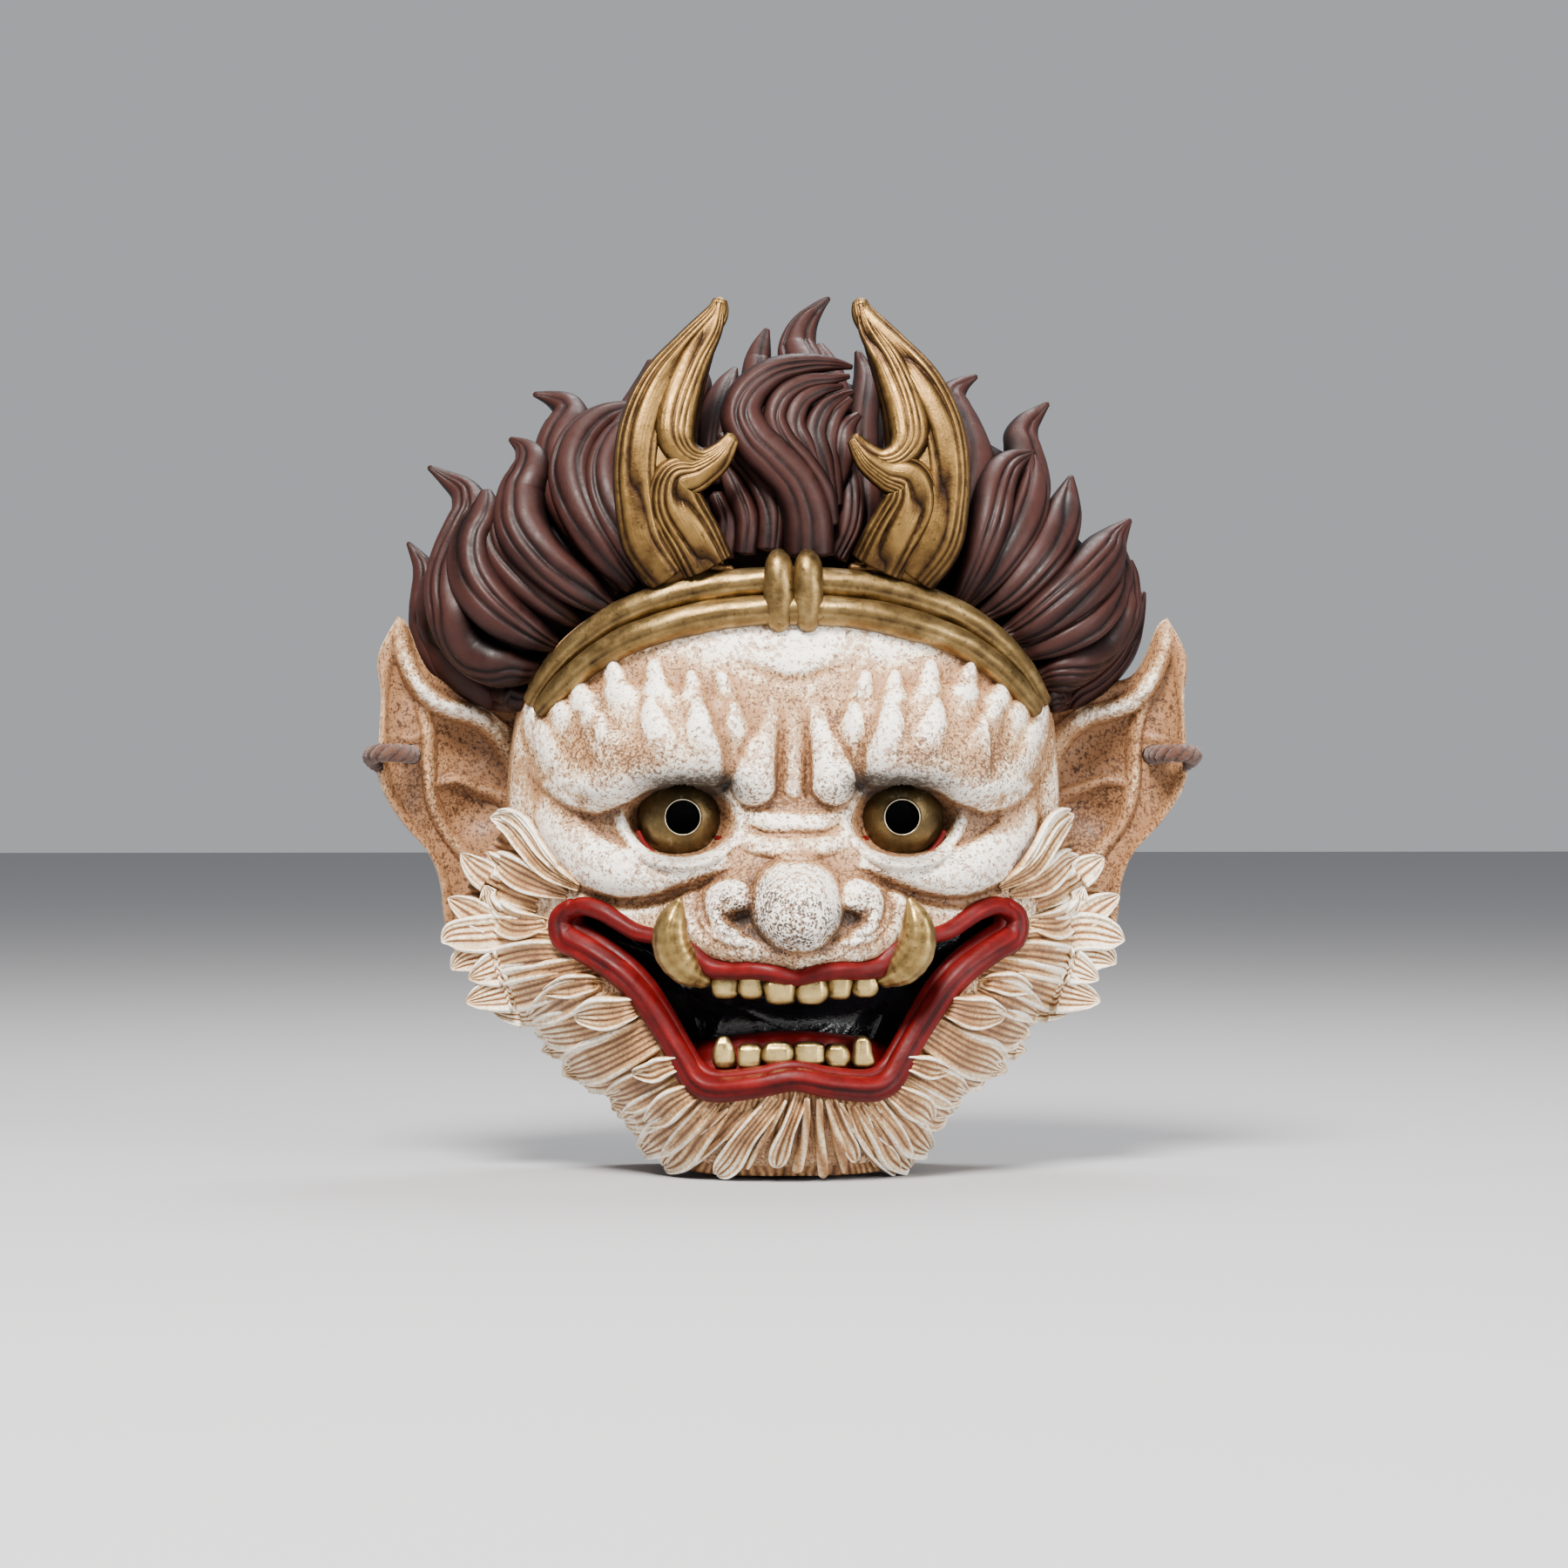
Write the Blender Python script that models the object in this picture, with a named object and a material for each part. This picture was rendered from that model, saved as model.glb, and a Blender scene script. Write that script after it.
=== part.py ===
"""Folk demon mask: a hollow moulded face with ears, beard, hair, horns, bared teeth and a tie cord.

Frame: +Z up, the face looks along -Y, the flat back rim lies in the plane Y = 0.
The origin is midway between the pupils, in the rim plane. Left is -X, as seen from the front.
Numbers are millimetres; "depth" is the distance in front of the rim plane, so Y = -depth.
"""
import math

import bmesh
import bpy
from mathutils import Vector

MM = 0.001
GAP = 0.35                # clearance left between neighbouring pieces
SIDES = (("left", -1), ("right", 1))

# Face shell
SPOKES = 42               # vertices round each ring of the shell
WALL = 5.0                # thickness of the shell and width of its flat rim
HUB = (0.0, -12.0)        # where the spokes of the shell meet, in X and Z
HALF_WIDTH = 86.0         # half width at which the dome has fallen to the side depth
SIDE_DEPTH = 18.0         # depth of the dome at its sides
DOME_RISE = 58.0          # how far the dome stands above its sides
NOTCH_DEPTH = 15.0        # how far the rim is cut back at the temples, for the cord
NOTCH_Z = 5.0             # middle of the temple notch
NOTCH_HALF = 16.0         # half of the notch's height
NOTCH_SLOPE = 9.0         # height over which each end of the notch runs out
EDGE_DROP = 4.0           # how far the front turns back at the outline before the side wall starts
RING_SHARES = (0.09, 0.19, 0.30, 0.42, 0.54, 0.66, 0.77, 0.87, 0.93, 0.975)   # rings along a spoke

# Features
EYE_X = 31.5
EYE_DEPTH = 60.0
EYE_RADIUS = 13.0
EYE_BACK = 56.0           # depth of the flat behind the eyeball
PUPIL_RADIUS = 4.9
EYE_FILM_RADIUS = 8.0     # round patch of film behind each pupil
ROLL_RADIUS = 3.8
WRAP_X = 4.2              # middle of each vertical wrap of the band knot
LINER_THICKNESS = 0.8
BEARD_FLOOR = 28.0        # least depth of the beard, where it overhangs the side of the shell
CORD_RADIUS = 2.5
KNOT_RADIUS = 4.4
SLOT_X = 110.3
SLOT_Z = 18.2
SLOT_WIDTH = 6.0
SLOT_HEIGHT = 7.0
EAR_NOTCH_X = 118.3       # where the cord's notch in the ear's edge begins
EAR_NOTCH_Z = (12.0, 22.0)
CLEAR = 300.0             # a length that is longer than the whole mask

# Teeth and gum; a "set" is how far a row lies behind the face, whose depth is read at the row's Z
TOOTH_X = (-19.5, -12.3, -4.2, 4.2, 12.3, 19.5)
TOOTH_WIDTH = (7.9, 6.0)          # middle pair, then the others
UPPER_TOOTH_TOP = (-46.6, -45.2)  # middle pair, then the others
UPPER_TOOTH_FOOT = -52.6
UPPER_ROW_Z = -43.0
UPPER_ROW_SET = 3.5
LOWER_TOOTH_TOP = (-64.5, -62.0)  # inner four, then the outer pair
LOWER_TOOTH_FOOT = -71.0
LOWER_ROW_DROP = 1.6
LOWER_ROW_Z = -76.0
LOWER_ROW_SET = 5.2
GUM_Z = -66.5
GUM_HALF = 3.2
GUM_SET = 10.9

# Half outlines in X and Z, from the top of the mask to its foot
SHELL_OUTLINE = ((0, 72), (20, 71), (36, 67.5), (50, 62.5), (63, 54), (73, 43), (79, 30), (81.5, 12),
                 (82, -6), (83.5, -22), (84, -36), (79, -50), (68, -64), (55, -78), (46, -90),
                 (39, -99), (22, -101.5), (0, -102))
EAR_OUTLINE = ((97, -40), (100.5, -32), (102, -20), (105.5, -11), (113, -2), (118.5, 7), (120.3, 15),
               (119.5, 24), (119, 36), (119.8, 47), (114, 58.5))
EAR_ROOT_Z = (-38.0, 32.0)
UPPER_LIP = ((-58.2, -27.6), (-55, -28.2), (-50, -31), (-44, -33.3), (-38, -32), (-31.5, -35), (-27, -40.5),
             (-20, -42.2), (-10, -42), (0, -43.6))
LOWER_LIP = ((-63.8, -26.6, 2.8), (-66, -29.6, 3.7), (-65, -35, 4.2), (-58.5, -38.8, 4), (-50, -44.6, 3.9),
             (-43.5, -51.2, 3.8), (-38.8, -58, 3.7), (-35.2, -63.8, 3.6), (-31.8, -69.6, 3.7),
             (-28.2, -75.4, 3.8), (-22.5, -77.8, 3.7), (-11, -76.6, 3.5), (0, -74.6, 3.4))
UPPER_ROLL = ((0, 67.4), (18, 66.6), (34, 63.4), (48, 58.6), (60, 51), (68.5, 42.5))
LOWER_ROLL = ((0, 59.3), (18, 58.4), (34, 55.2), (47, 50.8), (57.5, 44.8), (64.5, 37.8))
HORN = ((27.3, 70, 71.2, 10.6), (32, 71, 79, 11.6), (36.6, 71, 89, 12.6), (38.6, 70, 99, 12.2),
        (38.3, 68.5, 109, 11.8), (35.8, 66, 120, 10.6), (30.5, 63, 130.5, 8.2), (23.6, 60.5, 140, 5),
        (20.6, 59.5, 147, 3), (20.3, 59, 150.6, 1.2))
PRONG = ((37, 70.5, 96, 6.5), (30, 71.5, 98.5, 5.8), (23.5, 72.5, 102.5, 4.2), (19.2, 73, 107.3, 2.6),
         (17.6, 73, 110.2, 1))
TUSK = ((27, 79, -44.3, 3), (31, 80.5, -42.3, 4.2), (34.2, 82, -38, 4.8), (35, 83, -33, 4.6),
        (34.2, 83, -28, 3.5), (32.8, 82.5, -23.5, 1.1))
HAIR_LEFT = ((-92, 39.5), (-102, 45.5), (-107, 54), (-108.5, 63), (-107.5, 70), (-111.5, 81), (-103, 79.5),
             (-99, 86), (-105.5, 103), (-95, 99), (-87, 95.5), (-85, 103), (-80.5, 110), (-72.5, 107),
             (-70, 115), (-73.5, 124.5), (-63, 125.5), (-55, 120), (-45, 121), (-38, 134.5), (-28, 133))
HAIR_CROWN = ((-26, 133), (-16, 127), (-11, 132), (-5, 144.5), (0.5, 143), (5, 151), (13.5, 154.5),
              (14, 142), (20, 138), (26, 143.5), (31, 136))
HAIR_RIGHT = ((33, 136), (40, 128), (46, 126.5), (49, 129), (57, 131), (55, 120), (62, 114.5), (70, 119.5),
              (78.5, 123), (74.5, 113), (79.5, 104), (85.5, 100), (89, 91), (94, 85.5), (102.5, 87.5),
              (100, 79), (100.5, 68), (107.5, 66), (106, 57), (102, 48), (92, 40.5))
CURL = ((2, 64, 77, 8), (-5, 63, 88, 8), (-12, 61, 99, 7.5), (-15, 59, 111, 7), (-12, 57, 122, 6.5),
        (-3, 55.5, 129.5, 6), (8, 54, 131, 5), (16, 52, 127, 2.5))
BEARD_SIDE = ((86, 1), (94, -9), (99.5, -23), (102, -36), (98, -43), (95, -50.5), (84, -55), (75, -62),
              (67, -72), (53, -79), (46, -89), (41, -98))
BEARD_INNER = ((67, -14), (71, -20.5), (71.6, -28), (69.2, -37.6), (61.5, -43), (53.3, -48.6),
               (47.4, -54.5), (43, -60.8), (39.5, -66.5), (36, -72.3), (32.6, -77.6), (28.8, -82.6))
CHIN_OUTER = ((-39, -103), (-25, -104.5), (-12, -103.5), (0, -104.5), (12, -103.5), (25, -104.5), (39, -103))
CHIN_INNER = ((-26.8, -83.4), (-18, -82.4), (-9, -81), (0, -79.4), (9, -81), (18, -82.4), (26.8, -83.4))

# The cord's own route: X, depth, Z of its left half, from the knot behind the ear to the middle
CORD_ROUTE = ((-112.4, 14.6, 11.2), (-116.8, 17.4, 13.6), (-120.8, 23.4, 16.2), (-121.8, 30, 17.6),
              (-120.4, 36.6, 18.4), (-116.2, 39.8, 18.6), (-112.2, 37.6, 18.4), (-110.3, 32, 18.2),
              (-110.4, 25, 18.2), (-110, 18.4, 18.1), (-106, 12.4, 17.4), (-97, 8.8, 13.6), (-86, 7, 7.2),
              (-77, 7.4, 0.6), (-67.5, 8.2, -10.5), (-56, 9, -26), (-42, 9.6, -42), (-26, 10, -55),
              (-9, 10, -62.5), (0, 10, -63.5))
CORD_POINTS = 68

MATERIALS = {
    "ivory": ((0.80, 0.62, 0.44), 0.55, 0.0),
    "hair_brown": ((0.085, 0.035, 0.030), 0.40, 0.0),
    "horn_gold": ((0.48, 0.30, 0.10), 0.32, 0.8),
    "band_brass": ((0.22, 0.15, 0.055), 0.38, 0.8),
    "eye_brass": ((0.22, 0.16, 0.06), 0.30, 0.8),
    "tooth_gold": ((0.45, 0.33, 0.15), 0.40, 0.6),
    "lip_red": ((0.26, 0.012, 0.014), 0.35, 0.0),
    "liner_black": ((0.01, 0.01, 0.012), 0.15, 0.0),
    "cord_brown": ((0.10, 0.045, 0.032), 0.90, 0.0),
}


def clear_scene():
    for obj in list(bpy.data.objects):
        bpy.data.objects.remove(obj, do_unlink=True)


def make_collection(name):
    group = bpy.data.collections.new(name)
    bpy.context.scene.collection.children.link(group)
    return group


def make_material(name):
    colour, roughness, metallic = MATERIALS[name]
    material = bpy.data.materials.new(name)
    material.use_nodes = True
    shader = material.node_tree.nodes["Principled BSDF"]
    shader.inputs["Base Color"].default_value = (*colour, 1.0)
    shader.inputs["Roughness"].default_value = roughness
    shader.inputs["Metallic"].default_value = metallic
    return material


def point(x, depth, z):
    return Vector((x, -depth, z)) * MM


def bump(x, z, middle_x, middle_z, reach_x, reach_z):
    return math.exp(-((x - middle_x) / reach_x) ** 2 - ((z - middle_z) / reach_z) ** 2)


def ramp(value, start, end):
    t = min(1.0, max(0.0, (value - start) / (end - start)))
    return t * t * (3 - 2 * t)


def face_depth(x, z):
    """Depth of the face's front surface: a dome with brows, sockets, cheeks, nose, muzzle and chin."""
    side = abs(x)
    width = HALF_WIDTH - 34.0 * ramp(-z, 38, 106)
    dome = 1.0 - (side / width) ** 2.4 - (max(0.0, -10.0 - z) / 128.0) ** 3
    depth = SIDE_DEPTH + DOME_RISE * max(0.0, dome) ** 0.62
    depth -= 10.0 * ramp(z, 45, 75)
    depth += 9.0 * bump(side, z, 34, 27, 30, 13)
    depth += 6.0 * bump(side, z, 62, 12, 12, 14)
    depth -= 7.0 * bump(side, z, 32, 0, 14, 11)
    depth += 8.0 * bump(side, z, 52, -11, 18, 9)
    depth += 7.0 * bump(side, z, 11.5, 12, 7, 10)
    depth += 16.0 * bump(x, z, 0, -36, 26, 13)
    depth += 24.0 * bump(x, z, 0, -23, 12.5, 13)
    depth += 9.0 * bump(x, z, 0, -78, 34, 17)
    return depth


def thin_depth(x, z):
    """The smallest face depth close to a place, so that the inner surface stays behind the outer one."""
    reach = 5.0
    around = [(0.0, 0.0)] + [(reach * math.cos(k * math.pi / 4), reach * math.sin(k * math.pi / 4))
                             for k in range(8)]
    return min(face_depth(x + dx, z + dz) for dx, dz in around)


def spline(points, count):
    """Evenly spaced places on a smooth curve through the points; the first three numbers set the length."""
    last = len(points) - 1
    dense = []
    steps = 24
    for i in range(last):
        p0 = points[max(0, i - 1)]
        p1 = points[i]
        p2 = points[i + 1]
        p3 = points[min(last, i + 2)]
        for s in range(steps):
            t = s / steps
            dense.append([0.5 * (2 * b + (c - a) * t + (2 * a - 5 * b + 4 * c - d) * t * t
                                 + (3 * b - a - 3 * c + d) * t ** 3)
                          for a, b, c, d in zip(p0, p1, p2, p3)])
    dense.append(list(points[last]))
    travelled = [0.0]
    for a, b in zip(dense, dense[1:]):
        travelled.append(travelled[-1] + math.dist(a[:3], b[:3]))
    places = []
    k = 0
    for i in range(count):
        goal = travelled[-1] * i / (count - 1)
        while k < len(dense) - 2 and travelled[k + 1] < goal:
            k += 1
        part = (goal - travelled[k]) / max(1e-9, travelled[k + 1] - travelled[k])
        places.append([a + (b - a) * part for a, b in zip(dense[k], dense[k + 1])])
    return places


def mirrored(half):
    """A whole curve from its left half, which ends on the centre plane."""
    return list(half) + [(-p[0], *p[1:]) for p in reversed(half[:-1])]


def new_object(name, mesh, material, group):
    obj = bpy.data.objects.new(name, mesh)
    group.objects.link(obj)
    mesh.materials.append(material)
    mesh.shade_smooth()
    mesh.set_sharp_from_angle(angle=math.radians(40))
    return obj


def new_cutter(name, mesh, group):
    obj = bpy.data.objects.new(name, mesh)
    group.objects.link(obj)
    obj.hide_render = True
    obj.display_type = "WIRE"
    return obj


def finish_mesh(name, bm):
    bmesh.ops.recalc_face_normals(bm, faces=bm.faces)
    mesh = bpy.data.meshes.new(name)
    bm.to_mesh(mesh)
    bm.free()
    return mesh


def loft(name, rings):
    """A closed skin over rings of equal size; a ring of one point closes in a fan, others in a flat cap."""
    bm = bmesh.new()
    rows = [[bm.verts.new(p) for p in ring] for ring in rings]
    for a, b in zip(rows, rows[1:]):
        count = max(len(a), len(b))
        for k in range(count):
            n = (k + 1) % count
            if len(a) == 1:
                bm.faces.new((a[0], b[n], b[k]))
            elif len(b) == 1:
                bm.faces.new((a[k], a[n], b[0]))
            else:
                bm.faces.new((a[k], a[n], b[n], b[k]))
    for cap in (rows[0], rows[-1]):
        if len(cap) > 2:
            bm.faces.new(cap)
    return finish_mesh(name, bm)


def slab(name, grid, front, back):
    """A relief over a grid of (X, Z) rows: a front and a back skin joined round the edge."""
    bm = bmesh.new()
    faces = [[[bm.verts.new(point(x, rule(x, z, i, j), z)) for j, (x, z) in enumerate(row)]
              for i, row in enumerate(grid)] for rule in (front, back)]
    rows = len(grid)
    columns = len(grid[0])
    for skin in faces:
        for i in range(rows - 1):
            for j in range(columns - 1):
                bm.faces.new((skin[i][j], skin[i][j + 1], skin[i + 1][j + 1], skin[i + 1][j]))
    edge = [(i, 0) for i in range(rows)] + [(rows - 1, j) for j in range(1, columns)]
    edge += [(i, columns - 1) for i in range(rows - 2, -1, -1)] + [(0, j) for j in range(columns - 2, 0, -1)]
    for (i, j), (k, m) in zip(edge, edge[1:] + edge[:1]):
        bm.faces.new((faces[0][i][j], faces[0][k][m], faces[1][k][m], faces[1][i][j]))
    return finish_mesh(name, bm)


def sweep(name, stations, sides, flat=1.0, grow=0.0):
    """Rounded sections along (X, depth, Z, half width) stations; flat scales a section's depth."""
    rings = []
    for i, (x, depth, z, half) in enumerate(stations):
        before = Vector(point(*stations[max(0, i - 1)][:3]))
        after = Vector(point(*stations[min(len(stations) - 1, i + 1)][:3]))
        along = (after - before).normalized()
        across = along.cross(Vector((0, 1, 0))).normalized()
        outward = along.cross(across).normalized()
        centre = point(x, depth, z)
        if grow and i == 0:
            centre -= along * grow * MM
        if grow and i == len(stations) - 1:
            centre += along * grow * MM
        ring = []
        for k in range(sides):
            angle = 2 * math.pi * (k + 0.5) / sides
            ring.append(centre + across * (half + grow) * MM * math.cos(angle)
                        + outward * (half * flat + grow) * MM * math.sin(angle))
        rings.append(ring)
    return loft(name, rings)


def cut(obj, cutter):
    change = obj.modifiers.new("cut_" + cutter.name, "BOOLEAN")
    change.operation = "DIFFERENCE"
    change.solver = "EXACT"
    change.object = cutter


def join(obj, other):
    change = obj.modifiers.new("join_" + other.name, "BOOLEAN")
    change.operation = "UNION"
    change.solver = "EXACT"
    change.object = other


def box_mesh(name, low, high):
    bm = bmesh.new()
    bmesh.ops.create_cube(bm, size=1.0)
    for v in bm.verts:
        v.co = Vector([low[k] + (v.co[k] + 0.5) * (high[k] - low[k]) for k in range(3)]) * MM
    return finish_mesh(name, bm)


def outline_ring(count):
    """Evenly spaced (X, Z) places round the shell's outline, from the top and clockwise from the front."""
    right = [(x, 0.0, z) for x, z in SHELL_OUTLINE]
    whole = right + [(-x, y, z) for x, y, z in reversed(right[1:-1])] + [right[0]]
    return [(p[0], p[2]) for p in spline(whole, count + 1)[:-1]]


def on_spoke(x, z, share):
    """The place at a share of the way from the hub to (x, z)."""
    return HUB[0] + (x - HUB[0]) * share, HUB[1] + (z - HUB[1]) * share


def stretch(x, z, growth):
    """The share of a spoke that ends a distance beyond (x, z), or short of it if negative."""
    return 1.0 + growth / math.hypot(x - HUB[0], z - HUB[1])


def rim_depth(x, z):
    """The rim is flat, apart from a rounded notch at each temple."""
    if abs(x) < 60:
        return 0.0
    return NOTCH_DEPTH * ramp(NOTCH_HALF - abs(z - NOTCH_Z), 0, NOTCH_SLOPE)


def shell_rings():
    """Rings from the tip of the front, out over the edge, round the flat rim and back up the inside."""
    outline = outline_ring(SPOKES)
    rings = [[point(HUB[0], face_depth(*HUB), HUB[1])]]
    for share in RING_SHARES:
        places = [on_spoke(x, z, share) for x, z in outline]
        rings.append([point(x, face_depth(x, z), z) for x, z in places])
    rings.append([point(x, face_depth(x, z) - EDGE_DROP, z) for x, z in outline])
    rings.append([point(x, rim_depth(x, z), z) for x, z in outline])
    rim = []
    wall = []
    for x, z in outline:
        inner_x, inner_z = on_spoke(x, z, stretch(x, z, -WALL))
        rim.append(point(inner_x, rim_depth(x, z), inner_z))
        ceiling = thin_depth(*on_spoke(x, z, RING_SHARES[-2])) - WALL - EDGE_DROP
        wall.append(point(inner_x, ceiling, inner_z))
    rings += [rim, wall]
    for share in reversed(RING_SHARES[1:-2:2]):
        places = [on_spoke(x, z, share) for x, z in outline]
        rings.append([point(x, thin_depth(x, z) - WALL, z) for x, z in places])
    rings.append([point(HUB[0], thin_depth(*HUB) - WALL, HUB[1])])
    return rings


def shell_block_mesh():
    """The space that the shell and everything inside its outline takes, with the clearance added."""
    outline = outline_ring(SPOKES)
    rings = [[point(HUB[0], face_depth(*HUB) + 2 * GAP, HUB[1])]]
    for share in RING_SHARES[1:5:2] + RING_SHARES[5:]:
        places = [on_spoke(x, z, share) for x, z in outline]
        rings.append([point(x, face_depth(x, z) + 2 * GAP, z) for x, z in places])
    for drop in (EDGE_DROP - GAP, CLEAR):
        ring = []
        for x, z in outline:
            outer_x, outer_z = on_spoke(x, z, stretch(x, z, 1.5 * GAP))
            ring.append(point(outer_x, max(-10.0, face_depth(x, z) - drop), outer_z))
        rings.append(ring)
    return loft("shell_block", rings)


def mouth_prism():
    """The open mouth: everything between the middle lines of the two lips."""
    upper = [(x, 0.0, z) for x, z in mirrored(UPPER_LIP)]
    lower = [(x, 0.0, z) for x, z, half in mirrored(LOWER_LIP)]
    ring = spline(upper, 40) + list(reversed(spline(lower, 40)))
    rings = [[point(p[0], depth, p[2]) for p in ring] for depth in (25.0, CLEAR)]
    return loft("mouth_opening", rings)


def on_face(points, lift, half):
    """(X, depth, Z, half width) stations that lie on the face at a height above it."""
    return [(p[0], face_depth(p[0], p[1]) + lift, p[1], p[2] if len(p) > 2 else half) for p in points]


def lip_stations(half_line, lift, half, count):
    return spline(on_face(mirrored(half_line), lift, half), count)


def roll_stations(half_line):
    whole = mirrored([(-x, z) for x, z in reversed(half_line)])
    stations = []
    for p in on_face(whole, 2.3, ROLL_RADIUS):
        taper = ramp(abs(p[0]), 35, 75)
        stations.append((p[0], p[1], p[2], ROLL_RADIUS - 0.9 * taper))
    return spline(stations, 25)


def eye_mesh(name, x, grow):
    bm = bmesh.new()
    bmesh.ops.create_uvsphere(bm, u_segments=20, v_segments=10, radius=(EYE_RADIUS + grow) * MM)
    bmesh.ops.translate(bm, verts=bm.verts, vec=point(x, EYE_DEPTH, 0))
    if not grow:
        flat = bmesh.ops.bisect_plane(bm, geom=bm.verts[:] + bm.edges[:] + bm.faces[:],
                                      plane_co=point(x, EYE_BACK, 0), plane_no=Vector((0, 1, 0)),
                                      clear_outer=True)
        rim = [e for e in flat["geom_cut"] if isinstance(e, bmesh.types.BMEdge)]
        bmesh.ops.contextual_create(bm, geom=rim)
    return finish_mesh(name, bm)


def pupil_mesh(name, x):
    bm = bmesh.new()
    bmesh.ops.create_cone(bm, cap_ends=True, segments=20, radius1=PUPIL_RADIUS * MM,
                          radius2=PUPIL_RADIUS * MM, depth=80 * MM)
    for v in bm.verts:
        v.co = Vector((v.co.x, v.co.z, v.co.y)) + point(x, EYE_DEPTH, 0)
    return finish_mesh(name, bm)


def eye_film_mesh(name, x):
    """A thin round patch of film just behind the flat back of an eyeball."""
    bm = bmesh.new()
    bmesh.ops.create_cone(bm, cap_ends=True, segments=24, radius1=EYE_FILM_RADIUS * MM,
                          radius2=EYE_FILM_RADIUS * MM, depth=LINER_THICKNESS * MM)
    middle = point(x, EYE_BACK - GAP - LINER_THICKNESS / 2, 0)
    for v in bm.verts:
        v.co = Vector((v.co.x, v.co.z, v.co.y)) + middle
    return finish_mesh(name, bm)


def ear_mesh(name, sign):
    """A dished flap from the side of the head to the outer edge, with a raised edge roll."""
    columns = 8
    outer = spline([(x, 0.0, z) for x, z in EAR_OUTLINE], 17)
    grid = []
    for i, edge in enumerate(outer):
        v = i / (len(outer) - 1)
        root_z = EAR_ROOT_Z[0] + (EAR_ROOT_Z[1] - EAR_ROOT_Z[0]) * v
        root_x = 79.0 - 3.0 * ramp(root_z, 10, 34)
        row = []
        for j in range(columns):
            u = j / (columns - 1)
            lift = 7.0 * math.sin(math.pi * u) * ramp(v, 0.75, 1.0)
            row.append((sign * (root_x + (edge[0] - root_x) * u), root_z + (edge[2] - root_z) * u - lift))
        grid.append(row)

    def middle(i, j):
        u = j / (columns - 1)
        v = i / (len(grid) - 1)
        flare = 6.0 + 13.0 * ramp(v, 0.2, 0.6)
        return 12.0 + flare * u - 4.0 * math.sin(math.pi * u) * math.sin(math.pi * v)

    def front(x, z, i, j):
        return middle(i, j) + 2.8 + 2.2 * ramp(j / (columns - 1), 0.8, 1.0)

    def back(x, z, i, j):
        return middle(i, j) - 2.8

    return slab(name, grid, front, back)


def hair_mesh(name, tips, roots, root_lift, tip_depth):
    """A fan of hair from the edge of the head to its flame-like tips, thick at the root."""
    columns = 6
    root_line = spline([(x, 0.0, z) for x, z in roots], len(tips))
    grid = []
    for root, (tip_x, tip_z) in zip(root_line, tips):
        grid.append([(root[0] + (tip_x - root[0]) * j / (columns - 1),
                      root[2] + (tip_z - root[2]) * j / (columns - 1)) for j in range(columns)])

    def front(x, z, i, j):
        v = j / (columns - 1)
        start = face_depth(root_line[i][0], root_line[i][2]) + root_lift
        return start + (tip_depth - start) * v + 9.0 * math.sin(math.pi * v)

    def back(x, z, i, j):
        v = j / (columns - 1)
        return front(x, z, i, j) - 4.0 - 17.0 * (1.0 - v) ** 1.5

    return slab(name, grid, front, back)


def beard_mesh(name, outer, inner, height):
    """A thick relief of tufts over the jaw, which overhangs the edge of the shell."""
    columns = 5
    count = len(outer)
    outer_line = spline([(x, 0.0, z) for x, z in outer], count)
    inner_line = spline([(x, 0.0, z) for x, z in inner], count)
    grid = []
    for a, b in zip(inner_line, outer_line):
        grid.append([(a[0] + (b[0] - a[0]) * j / (columns - 1),
                      a[2] + (b[2] - a[2]) * j / (columns - 1)) for j in range(columns)])

    def front(x, z, i, j):
        v = j / (columns - 1)
        return max(BEARD_FLOOR, face_depth(x, z)) + 2.0 + height * math.sin(math.pi * (0.15 + 0.7 * v))

    def back(x, z, i, j):
        return max(BEARD_FLOOR, face_depth(x, z) - 3.0)

    return slab(name, grid, front, back)


def tooth_mesh(name, x, top, bottom, width, depth):
    """A rounded peg: a cube with softened edges, a little narrower at its free end."""
    bm = bmesh.new()
    bmesh.ops.create_cube(bm, size=1.0)
    bmesh.ops.bevel(bm, geom=bm.edges[:], offset=0.24, segments=2, affect="EDGES")
    for v in bm.verts:
        v.co = point(x + v.co.x * width, depth - v.co.y * 5.0, (top + bottom) / 2 + v.co.z * (top - bottom))
    return finish_mesh(name, bm)


def liner_mesh():
    """The thin film behind the open mouth, on the inner side of the shell."""
    columns = 15
    lines = []
    upper = spline([(x, 0.0, z) for x, z in mirrored(UPPER_LIP)], columns)
    lower = spline([(x, 0.0, z) for x, z, half in mirrored(LOWER_LIP)], columns)
    rows = 8
    for a, b in zip(upper, lower):
        top = a[2] + 6.0
        foot = b[2] - 4.0
        x = (a[0] + b[0]) / 2
        lines.append([(x, top + (foot - top) * j / (rows - 1)) for j in range(rows)])

    def front(x, z, i, j):
        near = min(thin_depth(x + dx, z + dz) for dx in (-5, 0, 5) for dz in (-5, 0, 5))
        return near - WALL - 1.6 - 8.0 * ramp(-z, 46, 60)

    def back(x, z, i, j):
        return front(x, z, i, j) - LINER_THICKNESS

    return slab("mouth_liner", lines, front, back)


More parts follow.
